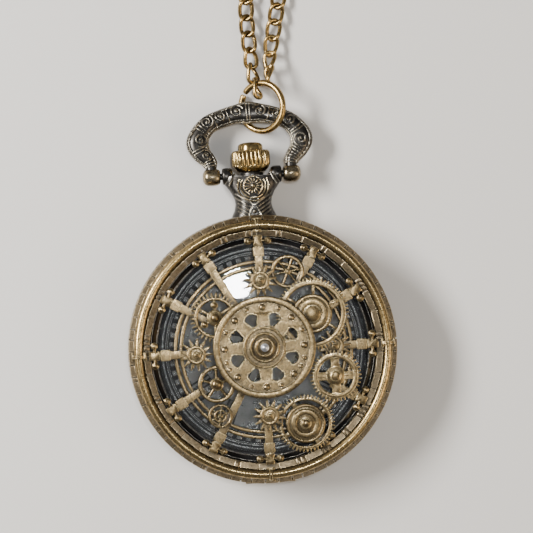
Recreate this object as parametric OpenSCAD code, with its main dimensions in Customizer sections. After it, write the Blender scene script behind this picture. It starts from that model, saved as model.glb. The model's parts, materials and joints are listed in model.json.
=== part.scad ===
/* [Case] */
// Diameter of the case across its belt
case_d = 47; // [47:0.5:58]
// Thickness of the case band at the movement's bore
case_wall = 3.5; // [3.5:0.1:5]
// Height of the back cover's joint with the case band
back_h = 2.2; // [2.2:0.1:2.6]
// Height of the seam between case band and front cover
seam_z = 7.8; // [7.8:0.1:9]
// Radius of the flat disc on the back that the watch rests on
rest_r = 16.5; // [10:0.5:18]
// Thickness of the crystal at its edge
crystal_t = 0.9; // [0.6:0.05:1.2]

/* [Crown and pendant] */
// Height of the winding stem's axis above the resting face
stem_z = 4.4; // [4.3:0.05:4.5]
// Radius of the stem
stem_r = 0.5; // [0.35:0.05:0.6]
// Radius of the crown over its flutes
crown_r = 3.4; // [2.9:0.1:3.5]
// Length of the fluted part of the crown
crown_h = 2.7; // [2:0.1:3.2]
// Number of flutes round the crown
crown_flutes = 26; // [16:1:32]
// Distance from the case edge to the bow's pivot line
pivot_rise = 7.4; // [7.2:0.1:9]
// Half the width of the pendant across its ears
ear_x = 5.25; // [5:0.05:5.6]
// Travel of the crown when it is pressed to open the cover
press_travel = 0.6; // [0.3:0.05:0.6]
// Travel of the crown when it is pulled out to set the hands
pull_travel = 0.7; // [0.4:0.05:0.7]

/* [Bow, ring and chain] */
// Radius of the bow's two round bosses
boss_r = 1.55; // [1.3:0.05:1.8]
// Length of each boss along the pivot line
boss_w = 3.0; // [2.4:0.1:3.6]
// Height of the bow's bar, square to the bow
bow_t = 2.1; // [1.6:0.1:2.2]
// Angle that the bow hangs below level at rest
bow_droop = 8.5; // [8:0.25:9.25]
// Radius of the bow's pivot screws
bow_pin_r = 0.6; // [0.45:0.05:0.8]
// Radius of the jump ring at the middle of its wire
ring_r = 4.3; // [4.1:0.05:4.6]
// Radius of the jump ring's wire
ring_wire_r = 0.57; // [0.4:0.01:0.6]
// Width of the chain's links
chain_w = 2.9; // [2.4:0.1:3.2]
// Thickness of the chain lying flat
chain_t = 1.7; // [1.2:0.1:1.8]

/* [Front cover] */
// Radius of the raised ring's middle, in from the case edge
bead_inset = 1.5; // [1.3:0.05:1.7]
// Radius of the raised ring's section
bead_r = 0.85; // [0.6:0.05:0.95]
// Height of the arms' underside above the resting face
deck_z = 10.3; // [10.3:0.1:11.5]
// Thickness of the arms
arm_t = 0.8; // [0.5:0.05:1.2]
// Width of the arms
arm_w = 1.4; // [1:0.1:1.8]
// Thickness of the cover's wheels
wheel_t = 0.65; // [0.5:0.05:0.9]
// Radius of the central wheel
centre_r = 9.0; // [8.6:0.1:9.2]
// Radius of the larger of the two thin rings
outer_ring_r = 15.5; // [15:0.1:16.5]
// Radius of the smaller of the two thin rings
inner_ring_r = 14.5; // [13.5:0.1:14.8]

/* [Movement] */
// Radius of the movement's main plate
plate_r = 12.0; // [11.8:0.1:14]
// Thickness of the main plate
plate_t = 1.0; // [0.8:0.05:1.05]
// Thickness of the train's wheels
train_t = 0.15; // [0.1:0.01:0.2]
// Radius of the battery
battery_r = 2.9; // [2.5:0.1:3.0]
// Height of the battery
battery_h = 2.1; // [1.6:0.1:2.1]

/* [Fits] */
// Clearance of a turning or sliding fit, on the radius
run_gap = 0.05; // [0.02:0.01:0.08]
// Clearance between parts that are set into each other
seat_gap = 0.05; // [0.02:0.01:0.1]
// Clearance between the closed cover and the case
seam_gap = 0.1; // [0.08:0.01:0.3]

/* [Hidden] */
$fn = 72;

// Colours
antique_brass = [0.62, 0.52, 0.34];
gold_brass = [0.78, 0.62, 0.32];
gunmetal = [0.36, 0.35, 0.34];
steel = [0.72, 0.73, 0.75];
black = [0.08, 0.08, 0.09];

// Case levels and radii
case_r = case_d / 2;
bore_r = case_r - case_wall;
seat_r = bore_r + 0.6;
seat_z = seam_z - 1.4;
lip_z = back_h + 1.1;
crystal_r = bore_r - 1.5;
gasket_w = 0.25;
bezel_z = seat_z - 0.1;
crystal_z = bezel_z + 0.92;
dial_t = 0.3;
dial_z = bezel_z - 0.05 - dial_t;
dial_r = bore_r - 0.7;

// Hinge, at six o'clock
hinge_y = -(case_r - 0.5);
hinge_z = seam_z + 0.05;
knuckle_r = 0.7;
knuckle_w = 3.0;
hinge_w = 8.8;
hinge_pin_r = 0.3;

// Pendant, crown and catch, measured from the case edge
pivot_y = case_r + pivot_rise;
spigot_r = 2.0;
sleeve_r = 1.15;
collar_r = 1.95;
chamber_r = 2.1;
chamber_y = case_r + 1.5;
nut_y = pivot_y - 0.8;
nut_t = 0.7;
head_r = 1.35;
crown_y = pivot_y + 0.6;
skirt_h = 1.1;
cap_r = 2.2;
cap_h = 1.5;
counter_r = 2.3;
counter_h = 2.7;
flute_depth = 0.25;
stem_end = 6.4;
catch_y = case_r - 2.6;
catch_t = 0.7;
catch_w = 4.4;
catch_z = lip_z + 0.05;
catch_top = seat_z - 0.1;
hook_z = catch_top - 0.3;
hook_w = 2.6;
tongue = 0.5;

// Front cover
cover_z = seam_z + seam_gap;
rim_in = bore_r;
bead_z = cover_z + 2.45;
bead_mid = case_r - bead_inset;
deck_top = deck_z + arm_t;
low_z = deck_top;
high_z = low_z + wheel_t + 0.1;
top_z = high_z + wheel_t + 0.1;
star_tip = 2.9;
star_root = 1.75;

// Places of the cover's wheels
star_12_at = [-0.05, 12.23];
star_3_at = [12.37, -0.03];
star_6_at = [0.25, -11.57];
star_9_at = [-12.01, -0.17];
six_spoke_at = [4.89, 13.5];
large_at = [8.79, 5.84];
four_spoke_at = [12.26, -5.26];
stepped_at = [6.58, -13.33];
small_at = [-8.34, -11.15];
five_spoke_at = [-8.65, -5.54];
balanced_at = [-8.29, 6.12];
centre_at = [0, 0.5];
pad_at = centre_at + polar(8.1, 33);
post_at = balanced_at + polar(3.35, -34);

// How far in each arm reaches, anticlockwise from three o'clock
arm_reach = [12.2, 10.9, 13, 12.2, 8.2, 11.2, 12.2, 12.6, 8.2, 12.2, 14.5, 13.2];

// Movement levels
plate_z = 3.9;
bridge_z = 2.0;
bridge_t = 0.5;
arbor_r = 0.1;
pivot_gap = 0.04;
fourth_z = 2.75;
third_z = 3.1;
centre_z = 3.5;
motion_z = plate_z + plate_t + 0.1;
hour_z = 6.5;
hand_t = 0.08;
cannon_r = 0.35;
pipe_r = 0.65;

// Tooth counts and modules of the train
rotor_n = 8;
inter_n = 40;
inter_pin_n = 8;
fourth_n = 48;
fourth_pin_n = 8;
third_n = 60;
third_pin_n = 8;
centre_n = 64;
cannon_n = 12;
minute_n = 36;
minute_pin_n = 10;
hour_n = 40;
fast_m = 0.106;
third_m = 0.09;
centre_m = third_m * (fourth_pin_n + third_n) / (third_pin_n + centre_n);
hour_m = fast_m * (cannon_n + minute_n) / (minute_pin_n + hour_n);

// Places of the train's arbors round the centre
third_at = polar((fourth_pin_n + third_n) * third_m / 2, 200);
inter_at = polar((inter_pin_n + fourth_n) * fast_m / 2, -40);
rotor_at = inter_at + polar((rotor_n + inter_n) * fast_m / 2, -10);
minute_at = polar((cannon_n + minute_n) * fast_m / 2, 75);
battery_at = [-6.5, -5.6];

// Bow, from the pivot line: x, distance out, half width of the bar
bow_half = [[7.05, 0.9, 0.95], [7.4, 2.7, 1.15], [8.7, 4.4, 1.5], [9.3, 6.2, 1.8], [8.6, 8.0, 1.6],
    [6.9, 9.7, 1.45], [4.5, 10.6, 1.45], [2.2, 11.2, 1.5]];
bow_top = [0, 11.4, 1.8];
bow_knots = concat([for (p = bow_half) [-p[0], p[1], p[2]]], [bow_top],
    [for (i = [len(bow_half) - 1:-1:0]) bow_half[i]]);
boss_x = 7.1;
ring_at = [2.6, pivot_y + 12.1, 3.05];
ring_tilt = 34;

// Chain, from the jump ring to the coil
left_route = [[1.3, 47, 2.2], [1.3, 49, 1.8], [1.2, 51.5, 1.1], [1.1, 54, 0.9], [0.9, 57, 0.9],
    [0.9, 61.5, 0.9], [1.4, 64.3, 0.9], [2.7, 66.7, 0.9]];
right_route = [[4, 47, 3.9], [4.3, 49, 2.8], [4.5, 51, 1.6], [4.8, 53, 0.9], [5.3, 55.6, 0.9],
    [5.9, 58.1, 0.9], [6.6, 61.5, 0.9], [7.4, 64.5, 1.4], [8.6, 67.3, 2.4]];
coil_at = [2.5, 90];
coil_out = 23.6;
coil_in = 10.4;
coil_h = 3.5;

// ---- Functions ----

function polar(r, a) = [r * cos(a), r * sin(a)];

function arc(r, a0, a1, n) = [for (i = [0:n]) polar(r, a0 + (a1 - a0) * i / n)];

// A toothed outline; root_share and tip_share are shares of the angle between teeth
function toothed(n, root, tip, root_share, tip_share, phase = 0) =
    [for (i = [0:n - 1]) for (k = [[root, -root_share], [tip, -tip_share], [tip, tip_share], [root, root_share]])
        polar(k[0], phase + (i + k[1] / 2) * 360 / n)];

// A small gear's outline, thin enough in the tooth to turn freely in mesh
function train_teeth(n, m, phase = 0) =
    toothed(n, m * (n / 2 - 1.15), m * (n / 2 + 0.75), 0.52, 0.2, phase);

// Phase of a gear of n teeth that stands at angle a from a gear of m teeth with a tooth at angle p
function facing(n, m, p, a) = a + 180 + 180 / n - (p - a) * m / n;

function fan(r0, r1, half0, half1, mid, n) =
    concat(arc(r0, mid - half0, mid + half0, 4), arc(r1, mid + half1, mid - half1, n));

function unit(v) = v / norm(v);

function flat(p) = [p[0], p[1]];

function spline(p, t) =
    let(n = len(p) - 1, i = min(floor(t), n - 1), u = t - i, a = p[max(i - 1, 0)], b = p[i], c = p[i + 1],
        d = p[min(i + 2, n)])
    0.5 * (2 * b + (c - a) * u + (2 * a - 5 * b + 4 * c - d) * u * u + (3 * b - a - 3 * c + d) * u * u * u);

function smooth(p, n) = [for (i = [0:n]) spline(p, (len(p) - 1) * i / n)];

function along(p, i) = unit(p[min(i + 1, len(p) - 1)] - p[max(i - 1, 0)]);

// ---- Shared shapes ----

// Things that lie along the stem's axis, from y
module on_stem(y) {
    translate([0, y, stem_z]) rotate([-90, 0, 0]) children();
}

module pipe(r_out, r_in, h) {
    difference() {
        cylinder(r = r_out, h = h);
        translate([0, 0, -1]) cylinder(r = r_in, h = h + 2);
    }
}

// A tube with an oval section of eight sides, wide[i] and high[i] being its half width and half height
module sweep(path, wide, high) {
    n = len(path);
    points = [for (i = [0:n - 1]) let(t = along(path, i), side = unit(cross(t, [0, 0, 1])), up = cross(side, t))
        for (k = [0:7]) path[i] + side * wide[i] * cos(45 * k + 22.5) + up * high[i] * sin(45 * k + 22.5)];
    walls = [for (i = [0:n - 2]) for (k = [0:7]) let(a = 8 * i + k, b = 8 * i + (k + 1) % 8)
        for (f = [[a, a + 8, b], [b, a + 8, b + 8]]) f];
    ends = [for (k = [1:6]) for (f = [[0, k, k + 1], [8 * n - 8, 8 * n - 8 + k + 1, 8 * n - 8 + k]]) f];
    polyhedron(points = points, faces = concat(walls, ends), convexity = 4);
}

// The band's outer outline, moved out by gap, from its joint with the back to the seam
function band(gap) = [[case_r - 1.3 + gap, back_h], [case_r - 0.4 + gap, back_h + 0.8],
    [case_r + gap, back_h + 2], [case_r + gap, back_h + 3.2], [case_r - 0.3 + gap, back_h + 4.4],
    [case_r - 0.8 + gap, seam_z]];

// The cover rim's section, grown by gap
module rim_section(gap = 0) {
    polygon([[rim_in - gap, cover_z + 0.5 - gap], [rim_in - gap, bead_z], [rim_in + 0.15, bead_z + 0.25 + gap],
        [bead_mid - bead_r + 0.05, bead_z + 0.45 + gap], [bead_mid, bead_z + 0.3], [case_r - 0.6, bead_z + gap],
        [case_r + gap, bead_z - 0.9], [case_r + gap, cover_z + 0.7], [case_r - 0.5, cover_z - gap],
        [seat_r + 0.2, cover_z - gap]]);
    translate([bead_mid, bead_z]) circle(r = bead_r + gap);
}

module turned_ring(r0, r1, z0, z1) {
    translate([0, 0, z0]) pipe(r1, r0, z1 - z0);
}

// ---- Case ----

module case_middle() {
    color(antique_brass) {
        difference() {
            union() {
                rotate_extrude() polygon(concat(band(0), [[seat_r, seam_z], [seat_r, seat_z], [bore_r, seat_z],
                    [bore_r, lip_z], [seat_r, lip_z], [seat_r, back_h]]));
                for (s = [-1, 1]) case_knuckle(s);
            }
            // hole for the press sleeve, and the pendant's socket
            on_stem(bore_r - 1) cylinder(r = sleeve_r + run_gap, h = case_wall + 3);
            on_stem(case_r - 1.2) cylinder(r = spigot_r + 0.02, h = 4);
            // pocket for the catch, and the slot that the cover's hook comes down
            translate([-catch_w / 2 - 0.3, bore_r - 1, catch_z - 0.3])
                cube([catch_w + 0.6, catch_y + 0.15 - bore_r + 1, seat_z + 0.1 - catch_z + 0.3]);
            translate([-hook_w / 2 - 0.3, catch_y - 0.5, hook_z - 0.5])
                cube([hook_w + 0.6, 1.75, seam_z - hook_z + 1.5]);
            // room for the cover's knuckle, and the pin's holes
            translate([-knuckle_w / 2 - 0.05, hinge_y, hinge_z]) rotate([0, 90, 0])
                cylinder(r = knuckle_r + 0.1, h = knuckle_w + 0.1);
            translate([-hinge_w, hinge_y, hinge_z]) rotate([0, 90, 0]) cylinder(r = hinge_pin_r, h = 2 * hinge_w);
        }
    }
}

module case_knuckle(s) {
    w = (hinge_w - knuckle_w) / 2 - 0.1;
    translate([s > 0 ? knuckle_w / 2 + 0.1 : -knuckle_w / 2 - 0.1 - w, hinge_y, hinge_z]) {
        rotate([0, 90, 0]) cylinder(r = knuckle_r, h = w);
        translate([0, -0.35, -1.6]) cube([w, 1.3, 1.6]);
    }
}

module back_cover() {
    color(antique_brass) rotate_extrude() polygon([[0, 0], [rest_r, 0], [case_r - 2.7, 0.5],
        [case_r - 1.5, back_h - 0.9], [case_r - 1.25, back_h - seat_gap], [seat_r - seat_gap, back_h - seat_gap],
        [seat_r - seat_gap, lip_z - 0.1], [bore_r - 0.1, lip_z - 0.1], [bore_r - 0.1, back_h - 0.6],
        [rest_r - 0.3, 0.7], [0, 0.7]]);
}

module pendant() {
    top = pivot_y + 1.5;
    color(gunmetal) difference() {
        union() {
            intersection() {
                // round neck that widens to the ears
                translate([0, 0, stem_z]) rotate([-90, 0, 0]) rotate_extrude() polygon([[0, case_r - 0.9],
                    [4.2, case_r - 0.9], [4.0, case_r + 0.2], [3.45, case_r + 1.2], [3.25, case_r + 2.3],
                    [3.35, case_r + 3.2], [3.9, case_r + 4.4], [ear_x, case_r + 5.9], [ear_x, top - 0.3],
                    [ear_x - 0.3, top], [0, top]]);
                // flattened towards the ears
                translate([-8, 0, stem_z]) rotate([90, 0, 90]) linear_extrude(16) polygon([[case_r - 1, -3.15],
                    [case_r + 3, -3.15], [pivot_y - 2.2, -2.5], [top, -2.3], [top, 2.3], [pivot_y - 2.2, 2.5],
                    [case_r + 3, 3.15], [case_r - 1, 3.15]]);
            }
            on_stem(case_r - 1.1) cylinder(r = spigot_r, h = 2);
        }
        // the case band, which the foot sits on
        difference() {
            rotate_extrude() polygon(concat([[0, back_h - 3]], [[case_r - 1.28, back_h - 3]], band(0.02),
                [[case_r - 0.78, seam_z + 3], [0, seam_z + 3]]));
            on_stem(case_r - 1.15) cylinder(r = spigot_r, h = 2);
        }
        on_stem(case_r - 3) cylinder(r = sleeve_r + run_gap, h = pivot_y);
        on_stem(chamber_y) cylinder(r = chamber_r, h = pivot_y);
        // cup round the crown's skirt, and the screws' holes
        on_stem(pivot_y - 0.05) cylinder(r = 3.65, h = 5);
        for (s = [-1, 1]) translate([s * (ear_x - 1.3), pivot_y, stem_z]) rotate([0, s * 90, 0])
            cylinder(r = bow_pin_r + run_gap, h = 3);
    }
}

module pendant_nut() {
    color(steel) on_stem(nut_y) pipe(chamber_r, head_r + 0.1, nut_t);
}

module crystal_bezel() {
    glass_r = crystal_r + gasket_w + 0.02;
    color(antique_brass) rotate_extrude() polygon([[crystal_r - 0.25, bezel_z], [bore_r - 0.1, bezel_z],
        [bore_r - 0.1, seat_z + 0.05], [seat_r - 0.05, seat_z + 0.05], [seat_r - 0.05, seam_z - 0.05],
        [bore_r - 0.1, seam_z + 0.1], [bore_r - 0.8, seam_z + 0.7], [glass_r, seam_z + 0.7],
        [glass_r, crystal_z - 0.02], [crystal_r - 0.25, crystal_z - 0.02]]);
}

module crystal_gasket() {
    color(black) turned_ring(crystal_r + 0.01, crystal_r + gasket_w, crystal_z, crystal_z + 0.7);
}

module crystal() {
    rise = 0.75;
    color([0.85, 0.92, 0.95, 0.3]) rotate_extrude() polygon(concat([[0, crystal_z], [crystal_r, crystal_z]],
        [for (i = [0:6]) let(r = crystal_r * (1 - i / 6)) [r, crystal_z + crystal_t + rise * (1 - pow(1 - i / 6, 2))]]));
}

module dial() {
    color([0.75, 0.77, 0.8]) translate([0, 0, dial_z]) pipe(dial_r, pipe_r + 0.15, dial_t);
}

module hinge_pin() {
    color(steel) translate([-hinge_w / 2, hinge_y, hinge_z]) rotate([0, 90, 0])
        cylinder(r = hinge_pin_r, h = hinge_w);
}

// ---- Press sleeve, catch and crown ----

module press_sleeve() {
    color(steel) difference() {
        union() {
            on_stem(catch_y) cylinder(r = sleeve_r, h = nut_y - catch_y);
            on_stem(nut_y - 1.0) cylinder(r = collar_r, h = 0.9);
            on_stem(nut_y - 0.5) cylinder(r = head_r, h = crown_y + counter_h - pull_travel - nut_y + 0.3);
        }
        on_stem(catch_y - 1) cylinder(r = stem_r + run_gap, h = 30);
    }
}

// Drawn pressed together, as it is when the crown is pushed in
module return_spring() {
    turns = 4;
    length = nut_y - 1.0 - press_travel - chamber_y - 0.4;
    path = [for (i = [0:turns * 10]) [1.6 * cos(36 * i), 0.25 + (length - 0.1) * i / (turns * 10), 1.6 * sin(36 * i)]];
    color(steel) translate([0, chamber_y, stem_z]) sweep(path, [for (p = path) 0.16], [for (p = path) 0.16]);
}

module latch_catch() {
    color(steel) difference() {
        union() {
            translate([-catch_w / 2, catch_y - catch_t, catch_z]) cube([catch_w, catch_t, catch_top - catch_z]);
            translate([-hook_w / 2, catch_y - 0.1, hook_z]) cube([hook_w, tongue + 0.1, catch_top - hook_z]);
        }
        on_stem(catch_y - 2) cylinder(r = stem_r + 0.3, h = 4);
    }
}

module crown_gasket() {
    wire = (counter_r - head_r) / 2 - run_gap / 2 - 0.02;
    color(black) on_stem(crown_y + 1.1) rotate_extrude() translate([(counter_r + head_r) / 2, 0]) circle(r = wire);
}

module crown() {
    top = skirt_h + crown_h;
    color(gold_brass) on_stem(crown_y) difference() {
        union() {
            rotate_extrude() polygon([[0, 0], [crown_r - 0.6, 0], [crown_r - 0.1, skirt_h * 0.6],
                [crown_r - 0.1, skirt_h], [crown_r - flute_depth, skirt_h], [crown_r - flute_depth, top - 0.1],
                [cap_r, top], [cap_r, top + cap_h - 0.5], [cap_r - 0.5, top + cap_h], [0, top + cap_h]]);
            translate([0, 0, skirt_h - 0.1]) linear_extrude(crown_h)
                polygon(toothed(crown_flutes, crown_r - flute_depth - 0.05, crown_r, 0.5, 0.22));
        }
        translate([0, 0, -1]) cylinder(r = counter_r, h = counter_h + 1);
        cylinder(r = stem_r, h = counter_h + 1.5);
    }
}

module stem() {
    color(steel) on_stem(stem_end) cylinder(r = stem_r, h = crown_y + counter_h + 1.5 - stem_end);
}

module sliding_pinion() {
    color(steel) on_stem(7.2) difference() {
        linear_extrude(1.1) polygon(toothed(12, 0.72, 0.92, 0.5, 0.2));
        translate([0, 0, -1]) cylinder(r = stem_r, h = 4);
    }
}

// ---- Movement ----

module movement_ring() {
    color([0.9, 0.9, 0.88]) difference() {
        turned_ring(plate_r + seat_gap, bore_r - 0.15, lip_z, dial_z - 0.05);
        translate([-catch_w / 2 - 0.4, bore_r - 1.1, 0]) cube([catch_w + 0.8, 3, 9]);
        on_stem(plate_r - 1) cylinder(r = stem_r + 0.2, h = bore_r - plate_r + 2);
    }
}

module main_plate() {
    holes = [third_at, inter_at, rotor_at];
    color(gold_brass) difference() {
        translate([0, 0, plate_z]) cylinder(r = plate_r, h = plate_t);
        translate([0, 0, plate_z - 1]) cylinder(r = cannon_r + run_gap, h = 4);
        for (p = holes) translate([p[0], p[1], plate_z - 1]) cylinder(r = arbor_r + pivot_gap, h = 4);
        // slot for the stem and its pinion
        translate([-1.1, stem_end - press_travel - 0.3, plate_z - 1]) cube([2.2, plate_r, plate_t + 2]);
        for (p = screw_places()) translate([p[0], p[1], plate_z - 1]) cylinder(r = 0.35, h = 4);
    }
}

function screw_places() = [polar(4.9, 105), polar(6.6, -65), polar(6.3, 165)];

module train_bridge() {
    color(gold_brass) difference() {
        union() {
            translate([0, 0, bridge_z]) cylinder(r = 3.6, h = bridge_t);
            for (p = screw_places()) {
                translate([p[0], p[1], bridge_z]) cylinder(r = 0.9, h = plate_z - bridge_z);
                bridge_arm([0, 0], p);
            }
            bridge_arm([0, 0], rotor_at);
            translate([rotor_at[0], rotor_at[1], bridge_z]) cylinder(r = 0.8, h = bridge_t);
        }
        for (p = [[0, 0], third_at, inter_at, rotor_at]) translate([p[0], p[1], bridge_z - 1])
            cylinder(r = arbor_r + pivot_gap, h = 3);
        for (p = screw_places()) translate([p[0], p[1], bridge_z - 1]) cylinder(r = 0.35, h = 4);
    }
}

module bridge_arm(a, b) {
    d = b - a;
    translate([a[0], a[1], bridge_z]) rotate([0, 0, atan2(d[1], d[0])])
        translate([0, -0.6, 0]) cube([norm(d), 1.2, bridge_t]);
}

module movement_screws() {
    color(steel) for (p = screw_places()) translate([p[0], p[1], 0]) {
        translate([0, 0, bridge_z]) cylinder(r = 0.33, h = plate_z + plate_t - bridge_z - 0.1);
        difference() {
            translate([0, 0, bridge_z - 0.35]) cylinder(r = 0.6, h = 0.35);
            translate([-1, -0.08, bridge_z - 0.5]) cube([2, 0.16, 0.3]);
        }
    }
}

module circuit_board() {
    color([0.1, 0.35, 0.2]) translate([0, 0, 2.95]) linear_extrude(0.3)
        polygon(concat(arc(11.4, 10, 80, 12), arc(6.2, 80, 10, 8)));
}

module quartz_can() {
    color(steel) translate([5.4, 7.4, 2.1]) rotate([0, 90, -45]) cylinder(r = 0.75, h = 5);
}

module coil_winding() {
    color([0.75, 0.4, 0.2]) translate([8.7, -6.6, 2.85]) rotate([0, 90, 80]) difference() {
        union() {
            cylinder(r = 0.85, h = 7);
            for (z = [0, 6.7]) translate([0, 0, z]) cylinder(r = 1.0, h = 0.3);
        }
        translate([0, 0, -1]) cylinder(r = 0.3, h = 9);
    }
}

module stator() {
    color(steel) difference() {
        translate([0, 0, 2.6]) linear_extrude(0.35) union() {
            translate(rotor_at) circle(r = 1.25);
            translate([rotor_at[0], rotor_at[1] - 0.5]) square([3.3, 1]);
        }
        translate([rotor_at[0], rotor_at[1], 2]) cylinder(r = 0.75, h = 2);
    }
}

module battery() {
    color(steel) translate([battery_at[0], battery_at[1], 1.4]) {
        cylinder(r = battery_r, h = battery_h - 0.3);
        translate([0, 0, battery_h - 0.3]) cylinder(r = battery_r - 0.5, h = 0.3);
    }
}

module battery_clip() {
    color(steel) translate([battery_at[0], battery_at[1], 0]) difference() {
        union() {
            translate([-0.8, -battery_r - 0.8, 1.15]) cube([1.6, battery_r + 1.8, 0.2]);
            translate([-0.8, -battery_r - 0.8, 1.15]) cube([1.6, 0.4, plate_z - 1.15]);
        }
        translate([0, 0, 1]) cylinder(r = 0.3, h = 1);
    }
}

// A wheel of the train: arbor from z0 to z1, wheel and pinion each with teeth n, module m, height z, phase
module train_wheel(at, z0, z1, wheels) {
    translate([at[0], at[1], 0]) {
        translate([0, 0, z0]) cylinder(r = arbor_r, h = z1 - z0);
        for (w = wheels) translate([0, 0, w[2]]) linear_extrude(w[3]) polygon(train_teeth(w[0], w[1], w[4]));
    }
}

module rotor() {
    color(steel) {
        train_wheel(rotor_at, bridge_z + 0.1, plate_z + 0.4, [[rotor_n, fast_m, third_z - 0.05, 0.3, rotor_phase]]);
        translate([rotor_at[0], rotor_at[1], 2.58]) cylinder(r = 0.6, h = 0.4);
    }
}

module intermediate_wheel() {
    color(gold_brass) train_wheel(inter_at, bridge_z + 0.1, plate_z + 0.4,
        [[inter_n, fast_m, third_z, train_t, inter_phase], [inter_pin_n, fast_m, 2.65, 0.46, inter_pin_phase]]);
}

module seconds_wheel() {
    color(gold_brass) train_wheel([0, 0], bridge_z + 0.1, hour_z + 0.62,
        [[fourth_n, fast_m, fourth_z, train_t, 0], [fourth_pin_n, third_m, fourth_z + 0.1, 0.52, 0]]);
}

module third_wheel() {
    color(gold_brass) train_wheel(third_at, bridge_z + 0.1, plate_z + 0.4,
        [[third_n, third_m, third_z, train_t, third_phase], [third_pin_n, centre_m, third_z + 0.1, 0.58, 0]]);
}

module centre_wheel() {
    color(gold_brass) difference() {
        union() {
            translate([0, 0, centre_z]) linear_extrude(train_t) polygon(train_teeth(centre_n, centre_m, centre_phase));
            translate([0, 0, centre_z]) cylinder(r = cannon_r, h = hour_z + 0.38 - centre_z);
            translate([0, 0, motion_z]) linear_extrude(0.3) polygon(train_teeth(cannon_n, fast_m, 0));
        }
        translate([0, 0, centre_z - 1]) cylinder(r = arbor_r + run_gap, h = 9);
    }
}

module minute_wheel() {
    color(gold_brass) translate([minute_at[0], minute_at[1], 0]) {
        translate([0, 0, plate_z + plate_t]) cylinder(r = 0.25, h = 0.8);
        translate([0, 0, motion_z]) linear_extrude(train_t) polygon(train_teeth(minute_n, fast_m, minute_phase));
        translate([0, 0, motion_z + 0.1]) linear_extrude(0.6) polygon(train_teeth(minute_pin_n, hour_m, 0));
    }
}

module hour_wheel() {
    color(gold_brass) difference() {
        union() {
            translate([0, 0, motion_z + 0.4]) linear_extrude(train_t) polygon(train_teeth(hour_n, hour_m, hour_phase));
            translate([0, 0, motion_z + 0.4]) cylinder(r = pipe_r, h = hour_z - motion_z - 0.4 + hand_t);
        }
        translate([0, 0, motion_z - 1]) cylinder(r = cannon_r + run_gap, h = 9);
    }
}

// Phases that put each pair in mesh
inter_pin_phase = facing(inter_pin_n, fourth_n, 0, -40);
inter_phase = 0;
rotor_phase = facing(rotor_n, inter_n, inter_phase, -10);
third_phase = facing(third_n, fourth_pin_n, 0, 200);
centre_phase = facing(centre_n, third_pin_n, 0, 20);
minute_phase = facing(minute_n, cannon_n, 0, 75);
hour_phase = facing(hour_n, minute_pin_n, 0, 255);

// ---- Hands ----

module hand_plate(length, tail, root_w, waist, z, bore) {
    translate([0, 0, z]) linear_extrude(hand_t) difference() {
        union() {
            circle(r = root_w);
            polygon([[-waist, -tail], [waist, -tail], [waist, length * 0.55], [2.6 * waist, length * 0.68],
                [0.6 * waist, length * 0.84], [0.05, length], [-0.05, length], [-0.6 * waist, length * 0.84],
                [-2.6 * waist, length * 0.68], [-waist, length * 0.55]]);
        }
        circle(r = bore);
    }
}

module hour_hand() {
    color(black) rotate([0, 0, 55]) hand_plate(8.6, 0, 1.1, 0.32, hour_z, pipe_r);
}

module minute_hand() {
    color(black) rotate([0, 0, -60]) hand_plate(13.2, 0, 0.85, 0.25, hour_z + 0.28, cannon_r);
}

module seconds_hand() {
    color(black) rotate([0, 0, 150]) hand_plate(14.5, 4, 0.5, 0.09, hour_z + 0.52, arbor_r);
}

// ---- Front cover ----

module cover_rim() {
    color(antique_brass) difference() {
        union() {
            difference() {
                rotate_extrude() rim_section();
                for (s = [-1, 1]) translate([s * (hinge_w / 2 + knuckle_w / 2 + 0.1) / 2, hinge_y, hinge_z])
                    rotate([0, 90, 0]) cylinder(r = knuckle_r + 0.1, h = hinge_w / 2 - knuckle_w / 2 + 0.1, center = true);
            }
            // knuckle and its web
            translate([-knuckle_w / 2, hinge_y, hinge_z]) rotate([0, 90, 0]) cylinder(r = knuckle_r, h = knuckle_w);
            translate([-knuckle_w / 2, hinge_y - 0.45, hinge_z]) cube([knuckle_w, 1.3, 1.4]);
            // hook that the catch holds
            translate([-hook_w / 2, catch_y + 0.7, hook_z - 0.35]) cube([hook_w, 0.4, cover_z + 0.4 - hook_z + 0.35]);
            translate([-hook_w / 2, catch_y + 0.1, hook_z - 0.35]) cube([hook_w, 0.7, 0.3]);
        }
        translate([-hinge_w, hinge_y, hinge_z]) rotate([0, 90, 0])
            cylinder(r = hinge_pin_r + 0.03, h = 2 * hinge_w);
    }
}

module cover_lattice() {
    clamp_r = rim_in - 0.8;
    color(antique_brass) union() {
        for (i = [0:11]) rotate([0, 0, 30 * i]) {
            intersection() {
                union() {
                    // clamp with its cross bar and two knobs
                    translate([clamp_r - 1.1, -0.8, deck_z - 0.5]) cube([3, 1.6, arm_t + 0.5]);
                    translate([clamp_r - 0.45, -1.8, deck_z - 0.4]) cube([0.9, 3.6, arm_t + 0.3]);
                    for (s = [-1, 1]) translate([clamp_r, 1.8 * s, deck_z - 0.5]) cylinder(r = 0.62, h = arm_t + 0.5);
                }
                cylinder(r = rim_in, h = 30);
            }
            // thick block, then the arm
            translate([clamp_r - 2.7, -0.88, deck_z - 0.1]) cube([1.7, 1.76, arm_t + 0.1]);
            translate([arm_reach[i], -arm_w / 2, deck_z]) cube([clamp_r - 1.9 - arm_reach[i], arm_w, arm_t]);
        }
        for (r = [outer_ring_r, inner_ring_r]) turned_ring(r - 0.3, r + 0.3, deck_z - 0.45, deck_z + 0.15);
        // post under the central wheel
        rotate([0, 0, 240]) translate([8.6, 0, deck_z]) cylinder(r = 0.55, h = top_z - deck_z);
    }
}

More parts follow.
